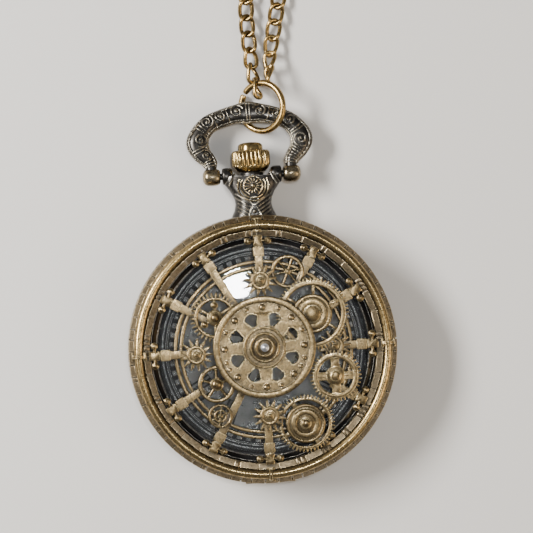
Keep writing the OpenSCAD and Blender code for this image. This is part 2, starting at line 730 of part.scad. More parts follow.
module rim_clips() {
    color(antique_brass) for (a = [0:90:270]) rotate([0, 0, a]) difference() {
        union() {
            translate([bead_mid - 1.2, -0.35, bead_z - 0.2]) cube([2.3, 0.7, bead_r + 0.55]);
            for (x = [bead_mid - 1.2, bead_mid + 0.75]) translate([x, -0.8, bead_z - 0.2]) cube([0.45, 1.6, bead_r + 0.35]);
        }
        rotate_extrude() rim_section(0.02);
    }
}

// A flat wheel with a rim, a hub and straight spokes; teeth of 0 leaves it plain
module spoked(at, z, t, outer, inner, hub, spokes, spoke_w, phase, teeth = 0, root = 0) {
    translate([at[0], at[1], z]) linear_extrude(t) {
        difference() {
            if (teeth > 0) polygon(toothed(teeth, root, outer, 0.62, 0.22));
            else circle(r = outer);
            circle(r = inner);
        }
        circle(r = hub);
        for (i = [0:spokes - 1]) rotate(phase + 360 * i / spokes) translate([0, -spoke_w / 2])
            square([inner + 0.1, spoke_w]);
    }
}

// Round steps on a wheel's face, each [radius, bottom, top]
module steps(at, rows) {
    for (s = rows) translate([at[0], at[1], s[1]]) cylinder(r = s[0], h = s[2] - s[1]);
}

module star_pinion(at, z, pin) {
    color(antique_brass) {
        translate([at[0], at[1], z]) linear_extrude(wheel_t - 0.15) polygon(toothed(13, star_root, star_tip, 0.9, 0.12));
        steps(at, [[1.05, low_z, z + wheel_t], [1.7, z, z + wheel_t], [0.72, z, z + wheel_t + pin]]);
    }
}

module star_pinion_12() { star_pinion(star_12_at, high_z, 0.35); }
module star_pinion_3() { star_pinion(star_3_at, low_z, 0.08); }
module star_pinion_6() { star_pinion(star_6_at, high_z, 0.35); }
module star_pinion_9() { star_pinion(star_9_at, high_z, 0.35); }

module six_spoke_wheel() {
    color(antique_brass) spoked(six_spoke_at, low_z, wheel_t, 2.95, 2.3, 0.5, 6, 0.4, 0);
}

module large_gear() {
    color(antique_brass) {
        spoked(large_at, high_z, wheel_t, 6.4, 5.2, 3.5, 6, 0.5, 25, 60, 5.85);
        // foot on the arm, and the pad that the central wheel sits on
        steps(large_at, [[1.1, low_z, high_z + 0.1]]);
        steps(pad_at, [[0.6, high_z, top_z]]);
    }
}

module four_spoke_gear() {
    color(antique_brass) {
        spoked(four_spoke_at, high_z, wheel_t, 4.5, 3.1, 1.7, 4, 1.5, 0, 40, 4.0);
        steps(four_spoke_at, [[1.0, high_z, high_z + wheel_t + 0.35]]);
    }
}

module stepped_gear() {
    color(antique_brass) {
        spoked(stepped_at, low_z, wheel_t, 5.1, 4.15, 3.5, 4, 0.8, 40, 48, 4.55);
        steps(stepped_at, [[3.5, low_z, low_z + wheel_t + 0.15], [2.7, low_z, low_z + wheel_t + 0.45],
            [0.9, low_z, low_z + wheel_t + 0.85]]);
    }
}

module small_wheel() {
    color(antique_brass) {
        spoked(small_at, low_z, wheel_t, 2.15, 1.65, 0.55, 6, 0.28, 20);
        translate([small_at[0], small_at[1], low_z]) pipe(1.15, 0.85, wheel_t);
    }
}

module five_spoke_wheel() {
    color(antique_brass) {
        spoked(five_spoke_at, low_z, wheel_t, 3.3, 2.6, 1.15, 5, 0.5, 90);
        steps(five_spoke_at, [[0.9, low_z, low_z + wheel_t + 0.5]]);
    }
}

module balanced_gear() {
    color(antique_brass) {
        spoked(balanced_at, low_z, wheel_t * 0.6, 4.4, 3.0, 1.2, 6, 0.5, 30, 34, 3.5);
        translate([balanced_at[0], balanced_at[1], low_z]) pipe(3.65, 3.05, wheel_t);
        steps(balanced_at, [[1.15, low_z, low_z + wheel_t], [0.85, low_z, low_z + wheel_t + 0.55]]);
        for (a = [90, 210, 330]) translate([balanced_at[0], balanced_at[1], low_z]) rotate([0, 0, a])
            translate([2.1, 0, 0]) cylinder(r = 0.5, h = wheel_t + 0.1);
        steps(post_at, [[0.3, low_z, top_z]]);
    }
}

module central_wheel() {
    color(antique_brass) translate([centre_at[0], centre_at[1], top_z]) difference() {
        union() {
            cylinder(r = centre_r, h = 0.6);
            pipe(centre_r, centre_r - 1.2, 0.9);
            cylinder(r = 3.7, h = 0.9);
        }
        for (i = [0:7]) translate([0, 0, -1]) linear_extrude(4)
            polygon(fan(4.0, 6.3, 7, 13, 22.5 + 45 * i, 6));
    }
}

module central_hub() {
    z = top_z + 0.9;
    color(gold_brass) steps(centre_at, [[2.6, z, z + 0.4], [1.69, z, z + 0.8], [0.68, z, z + 1.1]]);
}

module wheel_rivets() {
    z = top_z + 0.6;
    small_angles = [112.7, 67.2, 21.7, -17.9, -30.3, -69.5, -111.3, -150.3, -160.8, 156.7];
    color(gold_brass) translate([centre_at[0], centre_at[1], z]) {
        for (i = [0:7]) rotate([0, 0, 45 * i]) translate([7.02, 0, 0]) dome(0.62);
        for (a = small_angles) rotate([0, 0, a]) translate([7.25, 0, 0]) dome(0.42);
    }
}

module dome(r) {
    difference() {
        sphere(r = r);
        translate([-2, -2, -4]) cube([4, 4, 4]);
    }
}

// ---- Bow, ring and chain ----

module hung() {
    translate([0, pivot_y, stem_z]) rotate([-bow_droop, 0, 0]) children();
}

// Outline of the bow's bar, narrower by inset at each edge
function bow_outline(inset) =
    let(line = smooth(bow_knots, 36), n = len(line) - 1,
        side = [for (i = [0:n]) let(t = unit(flat(along(line, i)))) [-t[1], t[0]]])
    concat([for (i = [0:n]) flat(line[i]) + side[i] * (line[i][2] - inset)],
        [for (i = [n:-1:0]) flat(line[i]) - side[i] * (line[i][2] - inset)]);

module bow() {
    color(gunmetal) difference() {
        hung() {
            // the bar is rounded in two steps
            translate([0, 0, -bow_t * 0.25]) linear_extrude(bow_t * 0.5) polygon(bow_outline(0));
            translate([0, 0, -bow_t / 2]) linear_extrude(bow_t) polygon(bow_outline(0.5));
            for (s = [-1, 1]) translate([s * boss_x, 0, 0]) rotate([0, 90, 0])
                cylinder(r = boss_r, h = boss_w, center = true);
        }
        for (s = [-1, 1]) translate([s * (boss_x - boss_w), pivot_y, stem_z]) rotate([0, s * 90, 0]) {
            cylinder(r = bow_pin_r, h = 2 * boss_w);
            translate([0, 0, boss_w + 1.0]) cylinder(r = bow_pin_r + 0.4, h = 2);
        }
    }
}

module bow_screws() {
    start = ear_x - 1.2;
    color(steel) for (s = [-1, 1]) translate([s * start, pivot_y, stem_z]) rotate([0, s * 90, 0]) difference() {
        union() {
            cylinder(r = bow_pin_r, h = boss_x + 1.0 - start);
            translate([0, 0, boss_x + 1.0 - start]) cylinder(r = bow_pin_r + 0.4, h = 0.4);
        }
        translate([-2, -0.12, boss_x + 1.2 - start]) cube([4, 0.24, 1]);
    }
}

module jump_ring() {
    color(gold_brass) translate(ring_at) rotate([0, -ring_tilt, 0]) rotate([0, 0, 147])
        rotate_extrude(angle = 354) translate([ring_r, 0]) circle(r = ring_wire_r);
}

module chain_strand(route) {
    n = 14;
    path = smooth(route, n);
    color(gold_brass) sweep(path, [for (p = path) chain_w / 2], [for (p = path) chain_t / 2]);
}

module chain_left() { chain_strand(left_route); }
module chain_right() { chain_strand(right_route); }

module chain_coil() {
    color(gold_brass) translate([coil_at[0], coil_at[1], 0]) pipe(coil_out, coil_in, coil_h);
}

case_middle();
back_cover();
pendant();
pendant_nut();
crystal_bezel();
crystal_gasket();
crystal();
dial();
movement_ring();
main_plate();
train_bridge();
circuit_board();
coil_winding();
stator();
quartz_can();
battery();
battery_clip();
movement_screws();
hinge_pin();
return_spring();
press_sleeve();
latch_catch();
crown_gasket();
crown();
stem();
sliding_pinion();
rotor();
intermediate_wheel();
seconds_wheel();
third_wheel();
centre_wheel();
minute_wheel();
hour_wheel();
hour_hand();
minute_hand();
seconds_hand();
cover_rim();
cover_lattice();
rim_clips();
central_wheel();
central_hub();
wheel_rivets();
star_pinion_12();
star_pinion_3();
star_pinion_6();
star_pinion_9();
six_spoke_wheel();
large_gear();
four_spoke_gear();
stepped_gear();
small_wheel();
five_spoke_wheel();
balanced_gear();
bow();
bow_screws();
jump_ring();
chain_left();
chain_right();
chain_coil();
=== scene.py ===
"""Pocket watch with an openwork gear cover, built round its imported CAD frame.
Lengths are in millimetres until a piece is made, and in metres after that."""
import json
import math
import random
import bmesh
import bpy
from mathutils import Matrix, Vector


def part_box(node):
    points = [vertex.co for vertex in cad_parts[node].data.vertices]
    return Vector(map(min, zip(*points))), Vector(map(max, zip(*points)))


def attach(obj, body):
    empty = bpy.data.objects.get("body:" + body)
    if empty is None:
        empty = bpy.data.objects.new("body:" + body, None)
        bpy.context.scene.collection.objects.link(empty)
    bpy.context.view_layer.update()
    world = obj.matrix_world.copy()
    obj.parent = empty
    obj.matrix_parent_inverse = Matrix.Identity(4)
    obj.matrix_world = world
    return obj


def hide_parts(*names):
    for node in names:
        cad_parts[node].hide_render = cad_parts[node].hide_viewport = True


MM = 0.001
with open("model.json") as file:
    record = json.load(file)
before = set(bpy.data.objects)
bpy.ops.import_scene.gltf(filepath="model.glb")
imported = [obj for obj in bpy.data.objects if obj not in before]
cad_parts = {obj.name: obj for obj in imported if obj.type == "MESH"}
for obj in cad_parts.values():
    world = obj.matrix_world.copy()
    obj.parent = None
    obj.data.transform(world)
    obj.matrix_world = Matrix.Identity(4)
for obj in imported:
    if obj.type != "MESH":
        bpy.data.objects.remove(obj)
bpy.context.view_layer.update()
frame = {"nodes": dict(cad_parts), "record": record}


# ---- Places taken from the frame ----

def low(node):
    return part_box(node)[0] / MM


def high(node):
    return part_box(node)[1] / MM


def middle(node):
    return (low(node) + high(node)) / 2


def half_width(node):
    return (high(node).x - low(node).x) / 2


CASE_R = high("cover_rim").x
HOOK_LOW = low("cover_rim").z
SEAM_Z = HOOK_LOW + 2.25
DECK_TOP = low("six_spoke_wheel").z
HIGH_Z = low("four_spoke_gear").z
TOP_Z = low("central_wheel").z
WHEEL_T = high("six_spoke_wheel").z - DECK_TOP
STEM_Z = middle("crown").z
PIVOT = Vector((0, middle("bow_screws").y, STEM_Z))
BOW_DROOP = 8.5
GLASS_R = high("crystal").x
DIAL_TOP = high("dial").z
BEAD_R = 0.85
BEAD_MID = CASE_R - 1.5
BEAD_Z = high("cover_rim").z - BEAD_R
HOOK_Y = CASE_R - 1.9


# ---- Camera, light and floor ----

def aim(obj, place, target, up):
    back = (place - target).normalized()
    right = up.cross(back).normalized()
    turn = Matrix((right, back.cross(right), back)).transposed()
    obj.matrix_world = Matrix.Translation(place * MM) @ turn.to_4x4()


def make_camera():
    view_w = 93.6
    distance = 480.0
    turn = math.radians(3.3)
    lean_x, lean_y = math.radians(3.5), math.radians(0.5)
    right = Vector((math.cos(turn), -math.sin(turn), 0))
    up = Vector((math.sin(turn), math.cos(turn), 0))
    target = Vector((1.25, 14.6, TOP_Z - 1))
    place = target + distance * (Vector((0, 0, 1)) - right * math.tan(lean_x) + up * math.tan(lean_y))
    camera = bpy.data.objects.new("camera", bpy.data.cameras.new("camera"))
    bpy.context.scene.collection.objects.link(camera)
    camera.data.sensor_width = 36
    camera.data.lens = 36 * (place - target).length / view_w
    camera.data.clip_start = 0.01
    camera.data.clip_end = 10
    aim(camera, place, target, up)
    bpy.context.scene.camera = camera


def make_light(name, place, size, power, colour):
    data = bpy.data.lights.new(name, "AREA")
    data.shape = "ELLIPSE"
    data.size, data.size_y = size
    data.energy = power
    data.color = colour
    obj = bpy.data.objects.new(name, data)
    bpy.context.scene.collection.objects.link(obj)
    aim(obj, Vector(place), Vector((0, 10, 5)), Vector((0, 1, 0.01)))


def make_stage():
    bpy.ops.mesh.primitive_plane_add(size=3, location=(0, 0.03, -0.00002))
    floor = bpy.context.object
    floor.name = "floor"
    material = bpy.data.materials.new("floor_paper")
    material.use_nodes = True
    shader = material.node_tree.nodes["Principled BSDF"]
    shader.inputs["Base Color"].default_value = (0.62, 0.61, 0.59, 1)
    shader.inputs["Roughness"].default_value = 0.8
    floor.data.materials.append(material)
    world = bpy.data.worlds.new("studio")
    bpy.context.scene.world = world
    world.use_nodes = True
    world.node_tree.nodes["Background"].inputs["Color"].default_value = (0.84, 0.85, 0.87, 1)
    world.node_tree.nodes["Background"].inputs["Strength"].default_value = 0.30
    make_light("key", (-430, 170, 360), (0.12, 0.34), 8.2, (1.0, 0.97, 0.93))
    make_light("fill", (380, -120, 380), (0.4, 0.3), 1.3, (1.0, 0.80, 0.56))
    make_light("top", (8, 72, 700), (0.05, 0.045), 1.5, (0.96, 0.98, 1.0))


# ---- Shape making, in millimetres ----

def polar(r, degrees):
    return r * math.cos(math.radians(degrees)), r * math.sin(math.radians(degrees))


def turned(degrees, axis="Z"):
    return Matrix.Rotation(math.radians(degrees), 4, axis)


def moved(x, y, z=0.0):
    return Matrix.Translation((x, y, z))


def off_axis(r, degrees):
    return moved(*polar(r, degrees))


class Shape:
    """Points and faces gathered for one piece, about a place of its own."""

    def __init__(self, place=None):
        self.place = place
        self.points = []
        self.faces = []

    def add(self, *parts, at=None):
        place = at if self.place is None else self.place if at is None else self.place @ at
        for points, faces in parts:
            start = len(self.points)
            self.points += [tuple(place @ Vector(p)) if place else tuple(p) for p in points]
            self.faces += [tuple(start + i for i in face) for face in faces]


def skin(rows, closed_across=True, closed_along=False, caps=False):
    """Faces over rows of points that have the same count."""
    points = [p for row in rows for p in row]
    n, count = len(rows[0]), len(rows)
    faces = []
    for i in range(count if closed_along else count - 1):
        a, b = i * n, (i + 1) % count * n
        for k in range(n if closed_across else n - 1):
            m = (k + 1) % n
            faces.append((a + k, a + m, b + m, b + k))
    if caps:
        faces.append(tuple(range(n)))
        faces.append(tuple(range((count - 1) * n, count * n)))
    return points, faces


def lathe(profile, segments, closed=False):
    """A profile of (radius, height) turned about Z."""
    rows = []
    for r, z in profile:
        rows.append([(*polar(max(r, 1e-4), 360 * i / segments), z) for i in range(segments)])
    return skin(rows, True, closed)


def corner_curve(a, corner, b, steps):
    """Points from a to b on a curve that is pulled towards the corner."""
    shares = [k / steps for k in range(steps + 1)]
    return [tuple((1 - t) ** 2 * a + 2 * t * (1 - t) * corner + t * t * b) for t in shares]


def rounded(outline, radius, steps):
    """The same closed outline with its corners rounded."""
    made = []
    for i, corner in enumerate(outline):
        here = Vector(corner)
        back, on = Vector(outline[i - 1]) - here, Vector(outline[(i + 1) % len(outline)]) - here
        angle = max(back.angle(on), 0.2)
        cut = min(radius / math.tan(angle / 2), back.length * 0.45, on.length * 0.45)
        made += corner_curve(here + back.normalized() * cut, here, here + on.normalized() * cut, steps)
    return made


def finished_mesh(obj):
    """The object's mesh with its curve or its modifiers worked out."""
    return bpy.data.meshes.new_from_object(obj.evaluated_get(bpy.context.evaluated_depsgraph_get()))


def points_and_faces(work):
    work.verts.index_update()
    made = [tuple(v.co) for v in work.verts], [tuple(v.index for v in f.verts) for f in work.faces]
    work.free()
    return made


def plate(outline, holes, z0, z1, bevel=0.07, steps=2):
    """A flat plate with holes and rounded edges."""
    curve = bpy.data.curves.new("outline", "CURVE")
    curve.dimensions = "2D"
    curve.fill_mode = "BOTH"
    for loop in [outline, *holes]:
        spline = curve.splines.new("POLY")
        spline.points.add(len(loop) - 1)
        for point, (x, y) in zip(spline.points, loop):
            point.co = (x, y, 0, 1)
        spline.use_cyclic_u = True
    curve.extrude = (z1 - z0) / 2 - bevel
    curve.bevel_depth = bevel
    curve.bevel_resolution = steps - 1
    curve.offset = -bevel
    obj = bpy.data.objects.new("outline", curve)
    bpy.context.scene.collection.objects.link(obj)
    mesh = finished_mesh(obj)
    work = bmesh.new()
    work.from_mesh(mesh)
    bmesh.ops.remove_doubles(work, verts=work.verts, dist=1e-4)
    points, faces = points_and_faces(work)
    bpy.data.objects.remove(obj)
    bpy.data.curves.remove(curve)
    bpy.data.meshes.remove(mesh)
    return [(x, y, z + (z0 + z1) / 2) for x, y, z in points], faces


def circle(r, count=96):
    return [polar(r, 360 * i / count) for i in range(count)]


def dome(r, z, rise, segments=28):
    """A low dome that ends in a short wall below its edge."""
    steps = 6
    profile = [(0, z + rise)]
    for i in range(1, steps + 1):
        a = math.pi / 2 * i / steps
        profile.append((r * math.sin(a), z + rise * math.cos(a)))
    profile.append((r, z - 0.1))
    return lathe(profile, segments)


def disc(r, z0, z1, bevel, segments=64):
    """A round step with a soft edge."""
    edge = [(r - bevel, z1), (r - bevel * 0.3, z1 - bevel * 0.3), (r, z1 - bevel)]
    return lathe([(0, z1), *edge, (r, z0), (0, z0)], segments)


def ring(r0, r1, z0, z1, bevel, segments=96):
    outline = rounded([(r0, z0), (r1, z0), (r1, z1), (r0, z1)], bevel, 3)
    return lathe(outline, segments, closed=True)


def block(size, bevel):
    """A box about the origin with chamfered edges."""
    work = bmesh.new()
    bmesh.ops.create_cube(work, size=1)
    for v in work.verts:
        v.co = v.co * Vector(size)
    bmesh.ops.bevel(work, geom=work.edges[:], offset=bevel, segments=2, affect="EDGES", profile=0.6)
    return points_and_faces(work)


def ring_block(section, a0, a1, chamfer):
    """A brick bent round the axis, with a section of (radius, height) corners and soft edges."""
    centre = (sum(p[0] for p in section) / len(section), sum(p[1] for p in section) / len(section))
    outline = rounded(section, chamfer, 2)
    step = math.degrees(chamfer / centre[0])
    rows = []
    for angle, share in ((a0, 0.0), (a0, 0.86), (a0 + step, 1.0), (a1 - step, 1.0), (a1, 0.86), (a1, 0.0)):
        c, s = math.cos(math.radians(angle)), math.sin(math.radians(angle))
        row = []
        for r, z in outline:
            r = centre[0] + (r - centre[0]) * share
            z = centre[1] + (z - centre[1]) * share
            row.append((r * c, r * s, z))
        rows.append(row)
    return skin(rows)


def frames(path, up):
    """Directions along, across and up at each point of a path."""
    made = []
    for i in range(len(path)):
        t = (path[min(i + 1, len(path) - 1)] - path[max(i - 1, 0)]).normalized()
        side = t.cross(up).normalized()
        made.append((t, side, side.cross(t)))
    return made


def tube(path, radius, sides, up=Vector((0, 0, 1)), closed=False):
    """A round wire along a path; radius may be a list."""
    path = [Vector(p) for p in path]
    radii = radius if isinstance(radius, list) else [radius] * len(path)
    if closed:
        ends = [path[-1], *path, path[0]]
        basis = frames(ends, up)[1:-1]
    else:
        basis = frames(path, up)
    rows = []
    for p, r, (_, side, high_way) in zip(path, radii, basis):
        rows.append([tuple(p + r * (math.cos(a) * side + math.sin(a) * high_way))
                     for a in (2 * math.pi * k / sides for k in range(sides))])
    return skin(rows, True, closed, not closed)


def toothed(count, root, tip, root_share, tip_share, phase=0.0, flank=0.5):
    """Outline of a gear, with a middle point on each flank."""
    mid = root + (tip - root) * flank
    mid_share = tip_share + (root_share - tip_share) * 0.42
    made = []
    for i in range(count):
        for r, share in ((root, -root_share), (mid, -mid_share), (tip, -tip_share),
                         (tip, tip_share), (mid, mid_share), (root, root_share)):
            made.append(polar(r, phase + (i + share / 2) * 360 / count))
    return made


def fans(count, inner, outer, gap, corner=0.25):
    """Rounded holes between straight spokes that are gap wide."""
    made = []
    for i in range(count):
        start, end = 360 * i / count, 360 * (i + 1) / count
        loop = []
        for r, (a, b) in ((inner, (start, end)), (outer, (end, start))):
            trim = math.degrees(math.asin(min(0.9, gap / 2 / r)))
            a, b = (a + trim, b - trim) if a < b else (a - trim, b + trim)
            loop += [polar(r, a + (b - a) * k / 8) for k in range(9)]
        made.append(rounded_ends(loop, corner))
    return made


def rounded_ends(loop, corner):
    """Rounds only the four corners of a fan-shaped loop of 18 points."""
    sharp = {0, 8, 9, 17}
    made = []
    for i, p in enumerate(loop):
        if i not in sharp:
            made.append(p)
            continue
        here = Vector(p)
        back, on = Vector(loop[i - 1]) - here, Vector(loop[(i + 1) % len(loop)]) - here
        a = here + back.normalized() * min(corner, back.length * 0.9)
        b = here + on.normalized() * min(corner, on.length * 0.9)
        made += corner_curve(a, here, b, 4)
    return made


def make_piece(name, shape, material, body, replaced=(), sharp=38):
    """One mesh object in metres, riding on a body."""
    mesh = bpy.data.meshes.new(name)
    mesh.from_pydata([(x * MM, y * MM, z * MM) for x, y, z in shape.points], [], shape.faces)
    work = bmesh.new()
    work.from_mesh(mesh)
    bmesh.ops.remove_doubles(work, verts=work.verts, dist=1e-7)
    bmesh.ops.dissolve_degenerate(work, edges=work.edges, dist=1e-8)
    bmesh.ops.recalc_face_normals(work, faces=work.faces)
    work.to_mesh(mesh)
    work.free()
    mesh.polygons.foreach_set("use_smooth", [True] * len(mesh.polygons))
    mesh.set_sharp_from_angle(angle=math.radians(sharp))
    obj = bpy.data.objects.new(name, mesh)
    bpy.context.scene.collection.objects.link(obj)
    obj.modifiers.new("flat_faces", "WEIGHTED_NORMAL").keep_sharp = True
    obj.data = finished_mesh(obj)
    obj.modifiers.clear()
    bpy.data.meshes.remove(mesh)
    obj.data.name = name
    obj.data.materials.append(material)
    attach(obj, body)
    if replaced:
        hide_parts(*replaced)
    return obj


# ---- Materials ----

class Surface:
    """A new material with the node makers that all surfaces share."""

    def __init__(self, name):
        self.material = bpy.data.materials.new(name)
        self.material.use_nodes = True
        self.nodes = self.material.node_tree.nodes
        self.links = self.material.node_tree.links
        self.shader = self.nodes["Principled BSDF"].inputs
        self.place = self.nodes.new("ShaderNodeTexCoord").outputs["Object"]

    def put(self, value, socket):
        """Links a node's output to a socket, or sets the socket to a plain value."""
        if isinstance(value, bpy.types.NodeSocket):
            self.links.new(value, socket)
        else:
            socket.default_value = (*value, 1) if isinstance(value, tuple) else value

    def noise(self, scale, detail, roughness):
        node = self.nodes.new("ShaderNodeTexNoise")
        sizes = {"Scale": scale, "Detail": detail, "Roughness": roughness, "Vector": self.place}
        for name, value in sizes.items():
            self.put(value, node.inputs[name])
        return node.outputs["Fac"]

    def ramp(self, value, *stops):
        """Grey levels at up to three places along a value."""
        node = self.nodes.new("ShaderNodeValToRGB")
        elements = node.color_ramp.elements
        for element, (position, level) in ((elements[0], stops[0]), (elements[1], stops[-1])):
            element.position, element.color = position, (level, level, level, 1)
        for position, level in stops[1:-1]:
            elements.new(position).color = (level, level, level, 1)
        self.put(value, node.inputs["Fac"])
        return node.outputs["Color"]

    def mix(self, share, a, b):
        node = self.nodes.new("ShaderNodeMix")
        node.data_type = "RGBA"
        for value, k in ((share, 0), (a, 6), (b, 7)):
            self.put(value, node.inputs[k])
        return node.outputs[2]

    def calc(self, kind, a, b):
        node = self.nodes.new("ShaderNodeMath")
        node.operation = kind
        node.use_clamp = True
        self.put(a, node.inputs[0])
        self.put(b, node.inputs[1])
        return node.outputs[0]

    def bump(self, height, strength, grain):
        node = self.nodes.new("ShaderNodeBump")
        self.put(strength, node.inputs["Strength"])
        self.put(grain * MM, node.inputs["Distance"])
        self.put(height, node.inputs["Height"])
        self.put(node.outputs["Normal"], self.shader["Normal"])

    def edge_share(self, radius=0.13):
        """How far the surface bends within a small radius, from 0 on a flat face."""
        soft = self.nodes.new("ShaderNodeBevel")
        soft.samples = 6
        self.put(radius * MM, soft.inputs["Radius"])
        geometry = self.nodes.new("ShaderNodeNewGeometry")
        dot = self.nodes.new("ShaderNodeVectorMath")
        dot.operation = "DOT_PRODUCT"
        self.put(soft.outputs["Normal"], dot.inputs[0])
        self.put(geometry.outputs["Normal"], dot.inputs[1])
        return self.calc("SUBTRACT", 1.0, dot.outputs["Value"])


def antique(name, edge, face, recess, rough=(0.28, 0.5), reach=0.9, grain=0.010, wear=(0.002, 0.035)):
    """Plated metal with patina patches, bright worn edges, and painted shade that darkens its recesses and
    the gaps near other parts, partly standing for grime there.
    """
    surface = Surface(name)
    mottling = surface.noise(900, 5, 0.6)
    fine = surface.noise(5200, 3, 0.6)
    # Painted shade: ambient occlusion darkens the base colour in recesses and where other parts come close,
    # where shade falls; in the hollows it also stands for grime.
    shade = surface.nodes.new("ShaderNodeAmbientOcclusion")
    shade.samples = 6
    surface.put(reach * MM, shade.inputs["Distance"])
    depth = surface.ramp(shade.outputs["AO"], (0.4, 1.0), (0.75, 0.5), (0.98, 0.0))
    painted_shade_and_grime = surface.calc("MULTIPLY", depth, 0.92)
    worn = surface.ramp(surface.edge_share(), (wear[0], 0.0), (wear[1], 1.0))
    bright = surface.calc("MULTIPLY", worn, surface.ramp(fine, (0.25, 0.55), (0.6, 1.0)))
    tone = surface.mix(surface.ramp(mottling, (0.38, 0.0), (0.68, 1.0)), face, tuple(0.58 * c for c in face))
    tone = surface.mix(surface.ramp(surface.noise(170, 3, 0.5), (0.42, 0.0), (0.66, 0.45)), tone, recess)
    tone = surface.mix(bright, tone, edge)
    tone = surface.mix(surface.ramp(surface.noise(2600, 4, 0.7), (0.48, 0.0), (0.64, 0.75)), tone, recess)
    # The painted shade, also standing for grime, pulls the base colour towards the recess colour.
    surface.put(surface.mix(painted_shade_and_grime, tone, recess), surface.shader["Base Color"])
    surface.put(surface.ramp(mottling, (0.3, rough[0]), (0.75, rough[1])), surface.shader["Roughness"])
    surface.put(surface.ramp(painted_shade_and_grime, (0.2, 1.0), (1.0, 0.55)), surface.shader["Metallic"])
    surface.bump(surface.mix(0.5, mottling, fine), 0.5, grain)
    return surface.material


def two_tone(surface, patches, colour, spread):
    """A colour that is darker by the spread in some patches."""
    share = surface.ramp(patches, (0.35, 0.0), (0.7, 1.0))
    darker = tuple((1 - spread) * c for c in colour)
    surface.put(surface.mix(share, colour, darker), surface.shader["Base Color"])


def plain_metal(name, colour, rough, scratch=0.25):
    """Clean metal with faint scratches and smears."""
    surface = Surface(name)
    smear = surface.noise(420, 4, 0.6)
    two_tone(surface, smear, colour, scratch)
    surface.put(1.0, surface.shader["Metallic"])
    surface.put(surface.ramp(smear, (0.3, rough), (0.75, rough * 1.6)), surface.shader["Roughness"])
    surface.bump(surface.noise(6500, 2, 0.5), 0.3, 0.004)
    return surface.material


def coated(name, colour, rough):
    """Paint, plastic, rubber or card."""
    surface = Surface(name)
    fine = surface.noise(4200, 2, 0.5)
    two_tone(surface, surface.noise(700, 4, 0.6), colour, 0.2)
    surface.put(surface.ramp(fine, (0.3, rough), (0.7, min(1.0, rough * 1.3))), surface.shader["Roughness"])
    surface.bump(fine, 0.25, 0.006)
    return surface.material


def make_glass():
    surface = Surface("crystal_glass")
    smear = surface.noise(160, 3, 0.5)
    surface.put(surface.ramp(smear, (0.45, 0.01), (0.8, 0.05)), surface.shader["Roughness"])
    surface.put(surface.mix(smear, (1.0, 1.0, 1.0), (0.95, 0.98, 0.98)), surface.shader["Base Color"])
    surface.put(1.0, surface.shader["Transmission Weight"])
    surface.put(1.46, surface.shader["IOR"])
    return surface.material


def make_materials():
    dark = (0.035, 0.028, 0.018)
    return {
        "bronze": antique("antique_bronze", (0.96, 0.75, 0.39), (0.25, 0.178, 0.085), dark, (0.2, 0.42), 1.0,
                          wear=(0.003, 0.04)),
        # The rim is a lighter copy of the bronze: its brighter face colour is a painted highlight for the
        # bead.
        "rim": antique("antique_bronze_rim", (0.94, 0.70, 0.35), (0.44, 0.31, 0.135), dark, (0.18, 0.38)),
        "brick": antique("antique_bronze_brick", (0.92, 0.73, 0.43), (0.21, 0.16, 0.095), dark,
                         (0.26, 0.46), 0.6, wear=(0.003, 0.04)),
        "rivet": antique("worn_bronze", (0.80, 0.62, 0.35), (0.42, 0.31, 0.16), dark, (0.2, 0.38)),
        "gunmetal": antique("dark_gunmetal", (0.50, 0.46, 0.39), (0.09, 0.083, 0.075), (0.010, 0.010, 0.009),
                            (0.24, 0.42), 0.5, 0.006),
        "relief": antique("worn_relief", (0.70, 0.62, 0.46), (0.22, 0.20, 0.165), (0.02, 0.018, 0.015),
                          (0.22, 0.4), 0.4, 0.006),
        "boss": antique("worn_boss", (0.85, 0.66, 0.36), (0.36, 0.29, 0.18), (0.03, 0.025, 0.018),
                        (0.2, 0.38), 0.5, 0.006),
        "gold": plain_metal("gold_plate", (0.72, 0.47, 0.16), 0.16),
        "crown": antique("crown_gold", (0.80, 0.60, 0.28), (0.56, 0.40, 0.165), (0.07, 0.045, 0.015),
                         (0.14, 0.24), 0.45, 0.003),
        "gold_worn": antique("gold_plate_worn", (0.84, 0.60, 0.26), (0.52, 0.35, 0.13), (0.06, 0.035, 0.012),
                             (0.18, 0.34), 0.5, 0.004),
        "steel": plain_metal("steel", (0.62, 0.63, 0.65), 0.24),
        "brass": plain_metal("movement_brass", (0.80, 0.62, 0.30), 0.28),
        # The black colours the dial plate and also the bezel, where it is painted shade.
        "black": coated("black_and_painted_shade", (0.012, 0.012, 0.013), 0.16),
        "print": coated("black_print", (0.015, 0.015, 0.017), 0.35),
        "silver": plain_metal("silver_dial", (0.45, 0.45, 0.44), 0.2, 0.12),
        # The dial centre's darker grey is partly the dial's own dark tone and partly painted shade under the
        # cover.
        "shaded_grey": plain_metal("dial_smoke", (0.33, 0.33, 0.32), 0.24, 0.3),
        "rubber": coated("rubber", (0.02, 0.02, 0.02), 0.7),
        "plastic": coated("movement_plastic", (0.72, 0.72, 0.68), 0.5),
        "board": coated("circuit_board", (0.04, 0.19, 0.09), 0.4),
        "copper": plain_metal("copper_wire", (0.72, 0.34, 0.16), 0.3),
        "glass": make_glass(),
    }


# ---- Chain ----

